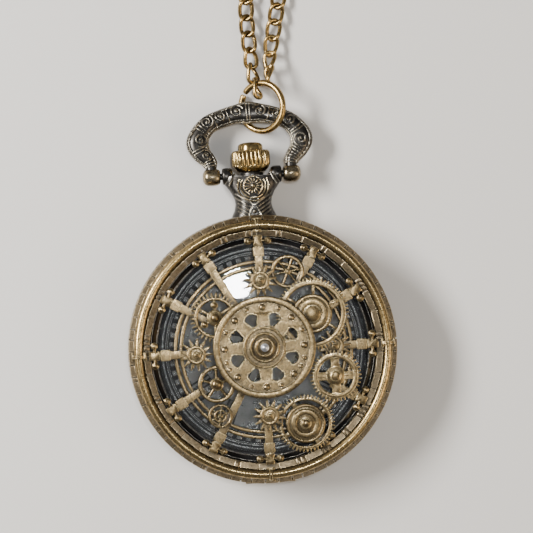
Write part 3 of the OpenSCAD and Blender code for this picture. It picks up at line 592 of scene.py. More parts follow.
LINK_LONG = 4.3
LINK_WIDE = 2.95
WIRE = 0.36
PITCH = 2.9
CHAIN_LENGTH = 800.0
END_ROLLS = (78, 50, 25, 8, 3)
LAY_Z = 1.12
LEFT_ROUTE = [(1.3, 49, 1.8), (1.2, 51.5, 1.2), (1.1, 54, LAY_Z), (0.9, 57, LAY_Z), (0.9, 61.5, LAY_Z),
              (1.4, 64.3, LAY_Z), (2.7, 66.7, LAY_Z)]
RIGHT_ROUTE = [(4.3, 49, 2.8), (4.5, 51, 1.6), (4.8, 53, LAY_Z), (5.3, 55.6, LAY_Z), (5.9, 58.1, LAY_Z),
               (6.6, 61.5, LAY_Z), (7.4, 64.5, 1.5), (8.6, 67.3, 2.4)]


def spline(points, t):
    last = len(points) - 1
    i = min(int(t), last - 1)
    u = t - i
    a, b, c, d = (points[k] for k in (max(i - 1, 0), i, i + 1, min(i + 2, last)))
    square, cube = 2 * a - 5 * b + 4 * c - d, 3 * b - a - 3 * c + d
    return 0.5 * (2 * b + (c - a) * u + square * u * u + cube * u ** 3)


def smooth(points, per_span=6):
    points = [Vector(p) for p in points]
    spans = len(points) - 1
    return [spline(points, i / per_span) for i in range(spans * per_span + 1)]


def length_of(path):
    return sum((b - a).length for a, b in zip(path, path[1:]))


def coil_line(turns):
    """In along the lower layer, across the middle in an S, and out along the upper layer."""
    centre = middle("chain_coil")
    outer, inner = half_width("chain_coil") - 1.6, 12.0
    top_z = LAY_Z + 1.72
    start, leave = -70.0, -58.0
    end = start + 360 * turns
    made = []
    per_turn = 40
    steps = int(per_turn * turns)
    for i in range(steps + 1):
        a = start + (end - start) * i / steps
        x, y = polar(outer + (inner - outer) * i / steps, a)
        made.append(Vector((centre.x + x, centre.y + y, LAY_Z)))
    for half, way in ((0, 1), (180, -1)):
        x, y = polar(inner / 2, end + half)
        for k in range(1, 13):
            a = end + half + (0 if way > 0 else 180) + way * 15 * k
            dx, dy = polar(inner / 2, a)
            made.append(Vector((centre.x + x + dx, centre.y + y + dy, LAY_Z)))
    back = end + 180
    goal = leave + 360 * math.floor((back - leave - 360 * (turns - 0.6)) / 360)
    steps = int(per_turn * (back - goal) / 360)
    for i in range(1, steps + 1):
        a = back + (goal - back) * i / steps
        x, y = polar(inner + (outer - inner) * i / steps, a)
        rise = min(1.0, i / 9)
        z = LAY_Z + (top_z - LAY_Z) * rise * rise * (3 - 2 * rise)
        made.append(Vector((centre.x + x, centre.y + y, z)))
    return made


def chain_line(turns):
    bottom_left, bottom_right = Vector((1.8, 46.35, 2.5)), Vector((3.5, 46.35, 3.8))
    coil = coil_line(turns)
    join = [Vector((4.6, 68.2, LAY_Z)), Vector((7.0, 68.9, LAY_Z))]
    entry = smooth([bottom_left, *LEFT_ROUTE, *join, coil[0], coil[2]])[:-6]
    over_coil = Vector((11.0, 69.4, 2.66))
    leaving = smooth([coil[-3], coil[-1], over_coil, *reversed(RIGHT_ROUTE), bottom_right])[6:]
    return entry + coil[1:-1] + leaving


def resample(path, step):
    """Points a fixed distance apart along a path."""
    made = [path[0]]
    left = step
    for a, b in zip(path, path[1:]):
        span = (b - a).length
        while span >= left and span > 0:
            a = a + (b - a) * (left / span)
            span = (b - a).length
            made.append(a)
            left = step
        left -= span
    return made


def link_points(bend=0.4, around=26, sides=8):
    """One curb link about the origin, long along X, as an array of rows."""
    long, wide = LINK_LONG / 2 - WIRE, LINK_WIDE / 2 - WIRE
    line = []
    for k in range(around):
        a = 2 * math.pi * k / around
        c, s = math.cos(a), math.sin(a)
        line.append(Vector((long * math.copysign(abs(c) ** 0.85, c), wide * math.copysign(abs(s) ** 0.85, s),
                            bend * math.sin(2 * a))))
    return tube(line, WIRE, sides, closed=True)


def make_chain(metal):
    low_turns, high_turns = 2.0, 5.0
    for _ in range(40):
        turns = (low_turns + high_turns) / 2
        if length_of(chain_line(turns)) < CHAIN_LENGTH:
            low_turns = turns
        else:
            high_turns = turns
    path = chain_line(turns)
    dots = resample(path, PITCH)
    link = link_points()
    chain = Shape()
    count = len(dots)
    for i, dot in enumerate(dots):
        ahead = (dots[min(i + 1, count - 1)] - dots[max(i - 1, 0)]).normalized()
        side = Vector((0, 0, 1)).cross(ahead).normalized()
        top = ahead.cross(side)
        from_end = min(i, count - 1 - i)
        roll = math.radians(END_ROLLS[from_end] if from_end < len(END_ROLLS) else 0)
        across = side * math.cos(roll) + top * math.sin(roll)
        turn = Matrix((ahead, across, ahead.cross(across))).transposed().to_4x4()
        chain.add(link, at=Matrix.Translation(dot) @ turn)
    obj = make_piece("chain", chain, metal, "chain_body",
                     ["chain_left", "chain_right", "chain_coil"], sharp=80)
    line = resample(path, 1.0)


# ---- Cover rim and its clips ----

BRICK_LONG, BRICK_SHORT = 3.5, 0.85
OUTER_BRICKS = {"gap": 0.26, "short_share": 0.12}
HINGE_GAP = 15


def bricks(shape, section, rng, gap=0.16, short_share=0.35, long=BRICK_LONG, hinge_gap=0):
    """A ring of uneven bricks bent to the section, with none within hinge_gap degrees of the hinge."""
    r = sum(p[0] for p in section) / len(section)
    angle = rng.uniform(0, 4)
    end = angle + 360
    while angle < end - 1.5:
        short = rng.random() < short_share
        length = BRICK_SHORT * rng.uniform(0.9, 1.2) if short else long * rng.uniform(0.8, 1.15)
        turn = min(math.degrees(length / r), end - angle)
        if abs((angle + turn / 2) % 360 - 270) > hinge_gap:
            shape.add(ring_block(section, angle, angle + turn - math.degrees(gap / r), 0.07))
        angle += turn


def over_bead(r, start, step, count):
    """Points (radius, height) on an arc about the middle of the rim's bead."""
    arc = [polar(r, start - step * k) for k in range(count)]
    return [(BEAD_MID + x, BEAD_Z + z) for x, z in arc]


def make_rim(metal):
    base = Shape()
    inner = CASE_R - 3.48
    inside = [(inner, SEAM_Z + 0.45), (inner, BEAD_Z - 0.05), (inner + 0.08, BEAD_Z + 0.03),
              (21.0, BEAD_Z + 0.03)]
    outside = [(22.78, BEAD_Z - 0.25), (23.2, 9.5), (23.28, 8.6), (22.95, 7.95), (20.9, 7.95), (20.85, 8.35)]
    base.add(lathe([*inside, *over_bead(BEAD_R, 200, 10, 23), *outside], 240, closed=True))
    hinge_y, hinge_z = middle("hinge_pin").y, middle("hinge_pin").z
    base.add(disc(0.7, -1.5, 1.5, 0.1, 24), at=moved(0, hinge_y, hinge_z) @ turned(90, "Y"))
    base.add(block((3.0, 1.3, 1.4), 0.1), at=moved(0, hinge_y + 0.25, hinge_z + 0.7))
    hook_top = 8.3
    base.add(block((2.6, 0.4, hook_top - HOOK_LOW), 0.06),
             at=moved(0, HOOK_Y + 0.2, (hook_top + HOOK_LOW) / 2))
    base.add(block((2.6, 0.7, 0.3), 0.06), at=moved(0, HOOK_Y - 0.2, HOOK_LOW + 0.15))
    make_piece("rim_ring", base, metal["rim"], "cover_body", ["cover_rim"])
    rng = random.Random(4)
    rows = Shape()
    bricks(rows, [(20.03, 10.2), (21.12, 10.2), (21.12, 10.86), (20.08, 10.66)], rng)
    bricks(rows, [(22.7, 10.1), (22.92, 10.42), (23.72, 9.55), (23.3, 9.3)], rng, long=2.2, **OUTER_BRICKS)
    bricks(rows, [(23.2, 9.36), (23.74, 9.34), (23.8, 8.3), (23.2, 8.3)], rng, long=2.2, hinge_gap=HINGE_GAP,
           **OUTER_BRICKS)
    make_piece("rim_bricks", rows, metal["brick"], "cover_body", ["cover_rim"])


def strap():
    """A thin strap over the bead, along X."""
    section = ((-0.3, -0.12), (0.3, -0.12), (0.3, 0.06), (0.18, 0.17), (-0.18, 0.17), (-0.3, 0.06))
    path = [(20.86, 10.75), (21.1, 10.98), *over_bead(0.98, 138, 13, 10), (23.08, 10.12)]
    rows = []
    for i, (r, z) in enumerate(path):
        along = (Vector(path[min(i + 1, len(path) - 1)]) - Vector(path[max(i - 1, 0)])).normalized()
        rows.append([(r - along.y * lift, side, z + along.x * lift) for side, lift in section])
    return skin(rows, caps=True)


def make_clips(metal):
    """Four straps, each with a T at both ends."""
    shape = Shape()
    for quarter in range(4):
        spin = turned(90 * quarter)
        shape.add(strap(), at=spin)
        shape.add(block((0.5, 1.5, 0.4), 0.09), at=spin @ moved(20.98, 0, 10.92))
        shape.add(block((0.42, 1.6, 0.5), 0.09), at=spin @ moved(23.06, 0, 10.22))
    make_piece("bead_straps", shape, metal["bronze"], "cover_body", ["rim_clips"])


# ---- Lattice of arms and clamps ----

DECK_Z = DECK_TOP - 0.8
CLAMP_R = 19.2
CLAMP_HALF = 1.75
ARM_REACH = (12.2, 10.9, 13.0, 12.2, 8.2, 11.2, 12.2, 12.6, 8.2, 12.2, 14.5, 13.2)


def clamp():
    """The end of an arm: two blocks, a hooked plate and a bar with two pegs."""
    shape = Shape()
    shape.add(block((1.7, 1.9, 1.05), 0.12), at=moved(17.3, 0, DECK_TOP - 0.42))
    shape.add(block((0.3, 1.3, 0.9), 0.1), at=moved(18.28, 0, DECK_TOP - 0.5))
    side = [(18.3, -0.8), (18.75, -0.8), (18.9, -0.62), (19.5, -0.62), (19.65, -0.8), (20.25, -0.75)]
    hook = side + [(x, -y) for x, y in reversed(side)]
    shape.add(plate(hook, [], DECK_Z - 0.5, DECK_TOP + 0.08, 0.12))
    bar = [(CLAMP_R, 0.25 * k - CLAMP_HALF, DECK_TOP - 0.42) for k in range(15)]
    shape.add(tube(bar, [0.48 if abs(k - 7) > 5 else 0.36 for k in range(15)], 12))
    for side in (-1, 1):
        shape.add(disc(0.62, DECK_Z - 0.45, DECK_TOP - 0.22, 0.1, 24), dome(0.56, DECK_TOP - 0.24, 0.22, 20),
                  at=moved(CLAMP_R, CLAMP_HALF * side))
    return shape.points, shape.faces


def make_lattice(metal):
    shape = Shape()
    for i, reach in enumerate(ARM_REACH):
        arm = [(reach, -0.62), (17.0, -0.72), (17.0, 0.72), (reach, 0.62)]
        shape.add(plate(arm, [], DECK_Z, DECK_TOP, 0.12), clamp(), at=turned(30 * i))
    for r in (15.5, 14.5):
        shape.add(ring(r - 0.3, r + 0.3, DECK_Z - 0.45, DECK_Z + 0.15, 0.14, 200))
    shape.add(disc(0.5, DECK_Z, TOP_Z, 0.05, 20), at=off_axis(8.6, 240))
    make_piece("lattice_arms", shape, metal["bronze"], "cover_body", ["cover_lattice"])


# ---- Wheels on the cover ----

FAN_SPOTS = [22.5 + 45 * k for k in range(8)]
BIG_RIVETS = [45 * k for k in range(8)]
SMALL_RIVETS = (112.7, 67.2, 21.7, -17.9, -30.3, -69.5, -111.3, -150.3, -160.8, 156.7)


def at_node(node):
    return moved(*middle(node).xy)


def petal_hole(angle):
    """A hole that is round outside and narrow inside."""
    side = ((3.9, 6.5), (4.6, 9.5), (5.3, 12.0))
    made = [polar(r, angle - half) for r, half in side]
    c, s = polar(1, angle)
    for k in range(9):
        swing = math.radians(20 * k - 80)
        x, y = 5.25 + 1.18 * math.cos(swing), 1.32 * math.sin(swing)
        made.append((x * c - y * s, x * s + y * c))
    return made + [polar(r, angle + half) for r, half in reversed(side)]


def make_central(metal):
    here = at_node("central_wheel")
    z = TOP_Z
    wheel = Shape(here)
    holes = [petal_hole(a) for a in FAN_SPOTS]
    wheel.add(plate(circle(8.9, 180), holes, z, z + 0.55, 0.14, 3), ring(7.85, 9.0, z, z + 0.98, 0.22, 200),
              ring(3.2, 3.75, z + 0.1, z + 0.9, 0.2, 128))
    for hole in holes:
        wheel.add(tube([(x, y, z + 0.53) for x, y in rounded(hole, 0.3, 2)], 0.09, 6, closed=True))
    make_piece("centre_wheel_top", wheel, metal["bronze"], "cover_body", ["central_wheel"])
    hub = Shape(here)
    hub.add(lathe([(0, z + 0.75), (3.3, z + 0.75), (3.3, z + 0.3), (0, z + 0.3)], 96),
            ring(2.15, 2.75, z + 0.6, z + 1.28, 0.24, 96), disc(2.3, z + 0.7, z + 1.0, 0.1),
            ring(1.2, 1.8, z + 0.8, z + 1.62, 0.22, 80), disc(1.4, z + 0.8, z + 1.3, 0.1))
    make_piece("hub_steps", hub, metal["bronze"], "cover_body", ["central_hub"])
    pin = Shape(here)
    pin.add(disc(0.72, z + 1.2, z + 1.72, 0.12, 32), dome(0.5, z + 1.7, 0.28, 24))
    make_piece("hub_pin", pin, metal["steel"], "cover_body", ["central_hub"])
    rivets = Shape(here)
    for r, size, rise, spots in ((7.02, 0.62, 0.5, BIG_RIVETS), (7.25, 0.42, 0.34, SMALL_RIVETS)):
        for a in spots:
            collar = ring(size - 0.02, size + 0.13, z + 0.5, z + 0.66, 0.05, 24)
            rivets.add(dome(size, z + 0.56, rise, 24), collar, at=off_axis(r, a))
    make_piece("rivet_heads", rivets, metal["rivet"], "cover_body", ["wheel_rivets"])


def gear(count, root, tip, z, holes, thick=WHEEL_T, bevel=0.06):
    return plate(toothed(count, root, tip, 0.66, 0.30), list(holes), z, z + thick, bevel)


def flat_spokes(shape, count, first, outline, z0, z1, bevel):
    for k in range(count):
        shape.add(plate(outline, [], z0, z1, bevel), at=turned(first + 360 / count * k))


def wheel_piece(node, shape, metal):
    make_piece(node + "_top", shape, metal["bronze"], "cover_body", [node])


def make_star(node, z, phase, metal):
    """A pinion with long pointed teeth, a raised ring and a domed pin."""
    top = z + WHEEL_T
    shape = Shape(at_node(node))
    shape.add(plate(toothed(13, 1.72, 2.9, 0.72, 0.16, phase, 0.45), [], z, z + WHEEL_T * 0.8),
              disc(1.62, z, top + 0.02, 0.1), ring(1.02, 1.7, z + 0.1, top + 0.16, 0.2, 64),
              disc(0.72, z, top + 0.22, 0.12, 32), dome(0.42, top + 0.2, 0.2, 20))
    wheel_piece(node, shape, metal)


def spoked(node, rim, inner, count, spoke, hub, phase, metal, *extra):
    """A plain ring with round spokes."""
    z, top = DECK_TOP, DECK_TOP + WHEEL_T
    shape = Shape(at_node(node))
    shape.add(ring(inner, rim, z, top, 0.2))
    for k in range(count):
        a = phase + 360 * k / count
        path = [(*polar(r, a), z + WHEEL_T * 0.5) for r in (0.1, inner * 0.5, (inner + rim) / 2)]
        shape.add(tube(path, spoke / 2, 10))
    shape.add(disc(hub, z, top + 0.05, 0.12, 32), *extra)
    wheel_piece(node, shape, metal)


def make_large(metal):
    node, z, top = "large_gear", HIGH_Z, HIGH_Z + WHEEL_T
    shape = Shape(at_node(node))
    shape.add(gear(60, 5.85, 6.4, z, [circle(5.15)], bevel=0.05), ring(5.05, 5.8, z, top + 0.05, 0.16, 120))
    spoke = [(3.2, -0.22), (5.3, -0.28), (5.3, 0.28), (3.2, 0.22)]
    flat_spokes(shape, 6, 25, spoke, z + 0.05, top - 0.05, 0.1)
    shape.add(disc(3.5, z, top, 0.18, 96), ring(2.75, 3.45, z + 0.3, top + 0.12, 0.2),
              ring(1.62, 2.68, z + 0.3, top + 0.22, 0.16), disc(1.42, z + 0.3, top + 0.14, 0.12),
              disc(1.1, low(node).z, z + 0.1, 0.08, 32))
    shape.place = at_node("central_wheel")
    shape.add(disc(0.6, z + 0.3, TOP_Z, 0.06, 24), at=off_axis(8.1, 33))
    wheel_piece(node, shape, metal)


def make_four_spoke(metal):
    node, z, top = "four_spoke_gear", HIGH_Z, HIGH_Z + WHEEL_T
    shape = Shape(at_node(node))
    shape.add(gear(40, 4.0, 4.55, z, fans(4, 1.75, 3.15, 1.45), bevel=0.08),
              ring(3.2, 3.9, z, top + 0.06, 0.14), disc(1.65, z, top + 0.02, 0.12, 48),
              disc(1.0, z, top + 0.2, 0.1, 40), dome(0.9, top + 0.18, 0.18, 32))
    wheel_piece(node, shape, metal)


def make_stepped(metal):
    node, z, top = "stepped_gear", DECK_TOP, DECK_TOP + WHEEL_T
    shape = Shape(at_node(node))
    shape.add(gear(48, 4.55, 5.1, z, [circle(4.1)], bevel=0.07), ring(4.05, 4.5, z, top + 0.06, 0.14, 120))
    spoke = [(3.2, -0.35), (4.3, -0.35), (4.3, 0.35), (3.2, 0.35)]
    flat_spokes(shape, 4, 30, spoke, z + 0.1, top - 0.1, 0.06)
    shape.add(disc(3.5, z, top + 0.05, 0.15, 96), ring(2.85, 3.45, z + 0.2, top + 0.22, 0.22),
              ring(1.55, 2.6, z + 0.2, top + 0.5, 0.26), disc(1.6, z, top + 0.3, 0.1, 48),
              disc(0.95, z, top + 0.66, 0.14, 40), dome(0.75, top + 0.64, 0.2))
    wheel_piece(node, shape, metal)


def make_balanced(metal):
    """A gear with long teeth, six spokes and three balls."""
    node, z, top = "balanced_gear", DECK_TOP, DECK_TOP + WHEEL_T
    shape = Shape(at_node(node))
    shape.add(gear(34, 3.55, 4.4, z, [circle(3.1)], 0.45, 0.07), ring(3.05, 3.65, z, top + 0.02, 0.18))
    spoke = [(0.9, -0.2), (3.2, -0.26), (3.2, 0.26), (0.9, 0.2)]
    flat_spokes(shape, 6, 30, spoke, z + 0.05, z + 0.5, 0.09)
    shape.add(disc(1.45, z, top, 0.15, 48), disc(1.1, z, top + 0.2, 0.15, 40),
              dome(0.8, top + 0.18, 0.55, 32))
    for a in (90, 210, 330):
        shape.add(disc(0.62, z + 0.1, top - 0.05, 0.1, 24), dome(0.5, top - 0.07, 0.35, 24),
                  at=off_axis(2.2, a))
    shape.add(disc(0.3, z + 0.3, TOP_Z, 0.05, 16), at=off_axis(3.35, -34))
    wheel_piece(node, shape, metal)


def make_wheels(metal):
    for hour, z, phase in ((12, HIGH_Z, 8), (3, DECK_TOP, 3), (6, HIGH_Z, 14), (9, HIGH_Z, 0)):
        make_star(f"star_pinion_{hour}", z, phase, metal)
    top = DECK_TOP + WHEEL_T
    spoked("six_spoke_wheel", 2.95, 2.3, 6, 0.42, 0.5, 8, metal)
    spoked("small_wheel", 2.15, 1.65, 6, 0.3, 0.4, 20, metal, ring(0.82, 1.18, DECK_TOP + 0.1, top, 0.14, 40))
    spoked("five_spoke_wheel", 3.3, 2.6, 5, 0.55, 1.15, 90, metal, dome(0.9, top + 0.03, 0.5, 32))
    make_large(metal)
    make_four_spoke(metal)
    make_stepped(metal)
    make_balanced(metal)


# ---- Bow ----

BOW_HALF = ((7.05, 0.9, 0.95), (7.4, 2.7, 1.15), (8.7, 4.4, 1.5), (9.3, 6.2, 1.8), (8.6, 8.0, 1.6),
            (6.9, 9.7, 1.45), (4.5, 10.6, 1.45), (2.2, 11.2, 1.5), (0, 11.4, 1.8))
BOW_T = 2.1
VOLUTES = ((-2.0, 11.5, 1.25, 1, 20), (2.1, 11.5, 1.25, -1, 160), (-7.4, 9.9, 1.2, -1, 60),
           (-8.8, 6.7, 1.3, 1, 250), (-7.9, 3.9, 0.95, -1, 100), (9.1, 6.0, 1.45, -1, 300),
           (7.3, 9.7, 1.2, 1, 120), (5.0, 10.8, 0.9, -1, 40), (-4.9, 10.8, 0.95, 1, 140))
BARREL = [(0, 1.6), (0.9, 1.55), (1.3, 1.3), (1.5, 0.8), (1.55, 0), (1.5, -0.8), (1.3, -1.25),
          (1.0, -1.42), (0, -1.42)]
END_CAP = [(0, 0.42), (0.55, 0.4), (0.9, 0.3), (1.05, 0.1), (1.08, -0.2), (0, -0.2)]
BEAD = [(0.02, 0.26), (0.16, 0.2), (0.25, 0.07), (0.25, -0.07), (0.16, -0.2), (0.02, -0.26)]


def hung(x, distance, z=0.0):
    """A point of the bow's own plane, which hangs a little below level."""
    return Matrix.Translation(PIVOT) @ turned(-BOW_DROOP, "X") @ Vector((x, distance, z))


def flip(face):
    return turned(180, "X") if face < 0 else Matrix.Identity(4)


def on_pivot(x, side):
    """A place on the bow's axis, with its own Z outwards."""
    return Matrix.Translation(PIVOT + Vector((x * side, 0, 0))) @ turned(90 * side, "Y")


def bow_line():
    """Points (x, distance, half width) along the middle of the bow's bar."""
    right = [Vector(p) for p in BOW_HALF]
    left = [Vector((-p.x, p.y, p.z)) for p in reversed(right[:-1])]
    return smooth(right + left, 8)


def beside(line, i, share):
    """A point of the bow's plane, off the middle line by a share of the half width."""
    p = line[i]
    ahead = (line[min(i + 1, len(line) - 1)] - line[max(i - 1, 0)]).xy.normalized()
    u = p.z * share
    return p.x - ahead.y * u, p.y + ahead.x * u


def bow_height(line, x, distance):
    """Half thickness of the bow's bar over a point of its plane."""
    near = min(line, key=lambda p: (p.x - x) ** 2 + (p.y - distance) ** 2)
    away = math.hypot(near.x - x, near.y - distance) / near.z
    return BOW_T / 2 * math.sqrt(max(0.0, 1 - min(away, 0.97) ** 2))


def on_bow(line, spot, face, share=1.0, lift=0.02):
    return hung(*spot, face * (bow_height(line, *spot) * share + lift))


def bow_skin(line, sides=20):
    rows = []
    for i in range(len(line)):
        row = []
        for k in range(sides):
            c, s = polar(1, 360 * k / sides)
            across = 0.97 * math.copysign(abs(c) ** 0.9, c)
            row.append(tuple(hung(*beside(line, i, across), BOW_T / 2 * 0.92 * s)))
        rows.append(row)
    return skin(rows, caps=True)


def spiral(x, distance, r, way, start, line, face, turns=1.6):
    path, radii = [], []
    count = int(26 * turns)
    for k in range(count + 1):
        t = k / count
        dx, dy = polar(r * (1 - 0.86 * t), start + way * 360 * turns * t)
        path.append(on_bow(line, (x + dx, distance + dy), face, 0.9, 0.12 + 0.1 * t))
        radii.append(0.24 - 0.1 * t)
    return tube(path, radii, 7)


def edge_wire(line, edge, face):
    """A wire of uneven thickness along one edge of the bow."""
    spots = range(4, len(line) - 4)
    path = [on_bow(line, beside(line, i, edge), face) for i in spots]
    return tube(path, [0.13 + 0.11 * abs(math.sin(1.1 * i)) for i in spots], 6)


def cross_wire(line, i, face):
    path = [on_bow(line, beside(line, i, 0.8 * (k / 4 - 1)), face, 0.93, 0.04) for k in range(9)]
    return tube(path, 0.15, 6)


def make_bow(metal):
    line = bow_line()
    body, relief, ends = Shape(), Shape(), Shape()
    body.add(bow_skin(line))
    for face in (-1, 1):
        relief.add(edge_wire(line, -0.84, face), edge_wire(line, 0.84, face))
        for x, distance, r, way, start in VOLUTES:
            relief.add(spiral(x, distance, r, way, start, line, face))
            top = on_bow(line, (x, distance), face, 0.92, 0)
            place = Matrix.Translation(top) @ turned(-BOW_DROOP, "X") @ flip(face)
            relief.add(dome(0.3, 0.1, 0.36, 14), at=place)
            body.add(dome(r * 0.98, -0.42, 0.5, 24), at=place)
        for i in range(5, len(line) - 5, 2):
            if min(math.hypot(line[i].x - x, line[i].y - y) - r for x, y, r, *_ in VOLUTES) >= 0.1:
                relief.add(cross_wire(line, i, face))
    for i in range(6, len(line) - 6):
        for edge in (-0.99, 0.99):
            relief.add(lathe(BEAD, 8), at=Matrix.Translation(hung(*beside(line, i, edge))))
    for x, profile, count in ((7.05, BARREL, 40), (8.32, END_CAP, 32)):
        for side in (-1, 1):
            ends.add(lathe(profile, count), at=on_pivot(x, side))
    make_piece("bow_bar", body, metal["gunmetal"], "bow_body", ["bow"], sharp=60)
    make_piece("bow_relief", relief, metal["relief"], "bow_body", ["bow"], sharp=60)
    make_piece("bow_ends", ends, metal["boss"], "bow_body", ["bow"])


# ---- Pendant ----

NECK = ((22.3, 4.3, 3.15), (23.0, 4.15, 3.15), (23.7, 3.95, 3.12), (24.7, 3.45, 3.08), (25.8, 3.22, 3.0),
        (26.7, 3.32, 2.88), (27.9, 3.85, 2.65), (28.8, 4.5, 2.42), (29.5, 5.0, 2.32), (30.2, 5.1, 2.28),
        (30.82, 5.1, 2.2))
NECK_POWER = 2.3
MEDAL_Y = 28.98
EAR = [(0, 0.98), (1.2, 0.98), (1.4, 0.9), (1.5, 0.74), (1.52, 0.2), (1.46, -0.5), (1.22, -0.86), (0, -0.9)]
COLLAR = [(3.9, 0), (4.35, 0.12), (4.45, 0.4), (4.3, 0.7), (3.9, 0.8)]


def neck_at(y):
    """Half width and half thickness of the neck at a height y."""
    t = 0
    while t < len(NECK) - 2 and NECK[t + 1][0] < y:
        t += 1
    a, b = NECK[t], NECK[t + 1]
    share = min(1, max(0, (y - a[0]) / (b[0] - a[0])))
    return a[1] + (b[1] - a[1]) * share, a[2] + (b[2] - a[2]) * share


def neck_face(x, y, face, rise=0.0):
    w, t = neck_at(y)
    u = min(0.985, abs(x) / w)
    return Vector((x, y, STEM_Z + face * (t * (1 - u ** NECK_POWER) ** (1 / NECK_POWER) + rise)))


def on_neck(points, radius, face, rise):
    return tube([neck_face(x, y, face, rise) for x, y in points], radius, 6)


def neck_skin(sides=48):
    rows = []
    for i in range(37):
        y = NECK[0][0] + (NECK[-1][0] - NECK[0][0]) * i / 36
        w, t = neck_at(y)
        row = []
        for k in range(sides):
            across, up = (math.copysign(abs(c) ** (2 / NECK_POWER), c) for c in polar(1, 360 * k / sides))
            row.append((w * across, y, STEM_Z + t * up))
        rows.append(row)
    return skin(rows, caps=True)


def add_medallion(medal, flat, face):
    """A rosette in a ring, with two arcs on the neck round it."""
    medal.add(ring(1.52, 1.8, 0.0, 0.44, 0.13, 64), dome(0.46, 0.2, 0.4, 24), at=flat)
    for k in range(14):
        a = 360 * k / 14
        path = [(*polar(r, a), z) for r, z in ((0.5, 0.22), (0.8, 0.32), (1.2, 0.34), (1.45, 0.26))]
        medal.add(tube(path, [0.05, 0.10, 0.14, 0.11], 6), at=flat)
    for r in (2.2, 2.72):
        arc = [(x, MEDAL_Y + y) for x, y in (polar(r, 150 + 12 * k) for k in range(21))]
        kept = [(x, y) for x, y in arc if abs(x) < neck_at(y)[0] - 0.1 and y < 30.7]
        medal.add(on_neck(kept, 0.17, face, 0.06))


def add_scrolls(relief, face, side):
    """Ribs, a curl and a flute on one side of a face of the neck."""
    for k in range(5):
        rib = [(side * (0.7 + 0.42 * j), 23.1 + 0.72 * k + 0.3 * j) for j in range(7)]
        rib = [(x, y) for x, y in rib if abs(x) < neck_at(y)[0] - 0.25]
        widths = [0.12 + 0.1 * math.sin(math.pi * (j + 0.5) / len(rib)) for j in range(len(rib))]
        relief.add(on_neck(rib, widths, face, 0.04))
    curl = [(side * (0.35 + 0.9 * math.sin(0.25 * j)), 25.35 - 0.42 * j) for j in range(7)]
    relief.add(on_neck(curl, 0.16, face, 0.05))
    flute = [(side * (3.15 + 0.22 * j), 31.3 - 0.42 * j, STEM_Z + face * (1.5 + 0.12 * j)) for j in range(6)]
    relief.add(tube(flute, [0.12, 0.2, 0.24, 0.24, 0.2, 0.12], 7))


def make_pendant(metal):
    body, relief, medal = Shape(), Shape(), Shape()
    body.add(neck_skin())
    for side in (-1, 1):
        body.add(lathe(EAR, 48), at=on_pivot(4.3, side))
    body.add(disc(2.05, 0, 0.57, 0.12, 48), at=moved(0, 30.85, STEM_Z) @ turned(-90, "X"))
    flattened = Matrix.Diagonal((1, 0.72, 1, 1))
    body.add(lathe(COLLAR, 64, closed=True), at=moved(0, 22.75, STEM_Z) @ turned(-90, "X") @ flattened)
    for face in (-1, 1):
        flat = moved(0, MEDAL_Y, neck_face(0, MEDAL_Y, face).z - face * 0.12) @ flip(face)
        body.add(disc(1.78, -0.3, 0.16, 0.1, 64), at=flat)
        add_medallion(medal, flat, face)
        small = [(x, 26.35 + y) for x, y in (polar(0.72, 20 * k) for k in range(19))]
        relief.add(on_neck(small, 0.15, face, 0.05))
        for y, size, rise, count in ((26.35, 0.26, 0.3, 16), (24.45, 0.42, 0.4, 18)):
            spot = neck_face(0, y, face, -0.05)
            relief.add(dome(size, 0.0, rise, count), at=Matrix.Translation(spot) @ flip(face))
        for side in (-1, 1):
            add_scrolls(relief, face, side)
    make_piece("pendant_body", body, metal["gunmetal"], "case", ["pendant"], sharp=50)
    make_piece("pendant_medallion", medal, metal["boss"], "case", ["pendant"], sharp=60)
    make_piece("pendant_relief", relief, metal["relief"], "case", ["pendant"], sharp=60)


# ---- Crown and jump ring ----

FLUTES = 26
FLUTE_STEPS = 10
FLUTE_DEPTH = 0.34
CROWN_PROFILE = (
    (0.0, 0.78, 0), (2.2, 0.78, 0), (2.22, 0.7, 0), (2.24, 0.04, 0), (2.3, 0.0, 0), (2.5, 0.06, 0),
    (2.75, 0.3, 0), (3.0, 0.65, 0), (3.22, 0.98, 0), (3.26, 1.05, 0.3), (3.32, 1.2, 0.8), (3.4, 1.4, 1),
    (3.42, 2.4, 1), (3.4, 3.3, 1), (3.3, 3.55, 0.8), (3.15, 3.72, 0.4), (2.95, 3.82, 0), (2.6, 3.86, 0),
    (2.35, 3.84, 0), (2.25, 3.9, 0), (2.22, 4.1, 0), (2.2, 4.6, 0), (2.08, 4.86, 0), (1.8, 5.08, 0),
    (1.3, 5.22, 0), (0.7, 5.29, 0), (0.0, 5.3, 0))


def make_crown(metal):
    """A knob from rows of (radius, height, share of the flutes' depth)."""
    y0, count = low("crown").y, FLUTES * FLUTE_STEPS
    waves = [abs(math.sin(math.pi * k / FLUTE_STEPS)) for k in range(count)]
    rows = []
    for r, h, depth in CROWN_PROFILE:
        reaches = [max(r - depth * FLUTE_DEPTH * (1 - wave), 1e-4) for wave in waves]
        spots = [polar(reach, 360 * k / count) for k, reach in enumerate(reaches)]
        rows.append([(x, y0 + h, STEM_Z + z) for x, z in spots])
    shape = Shape()
    shape.add(skin(rows))
    make_piece("crown_knob", shape, metal["crown"], "crown_body", ["crown"], sharp=50)


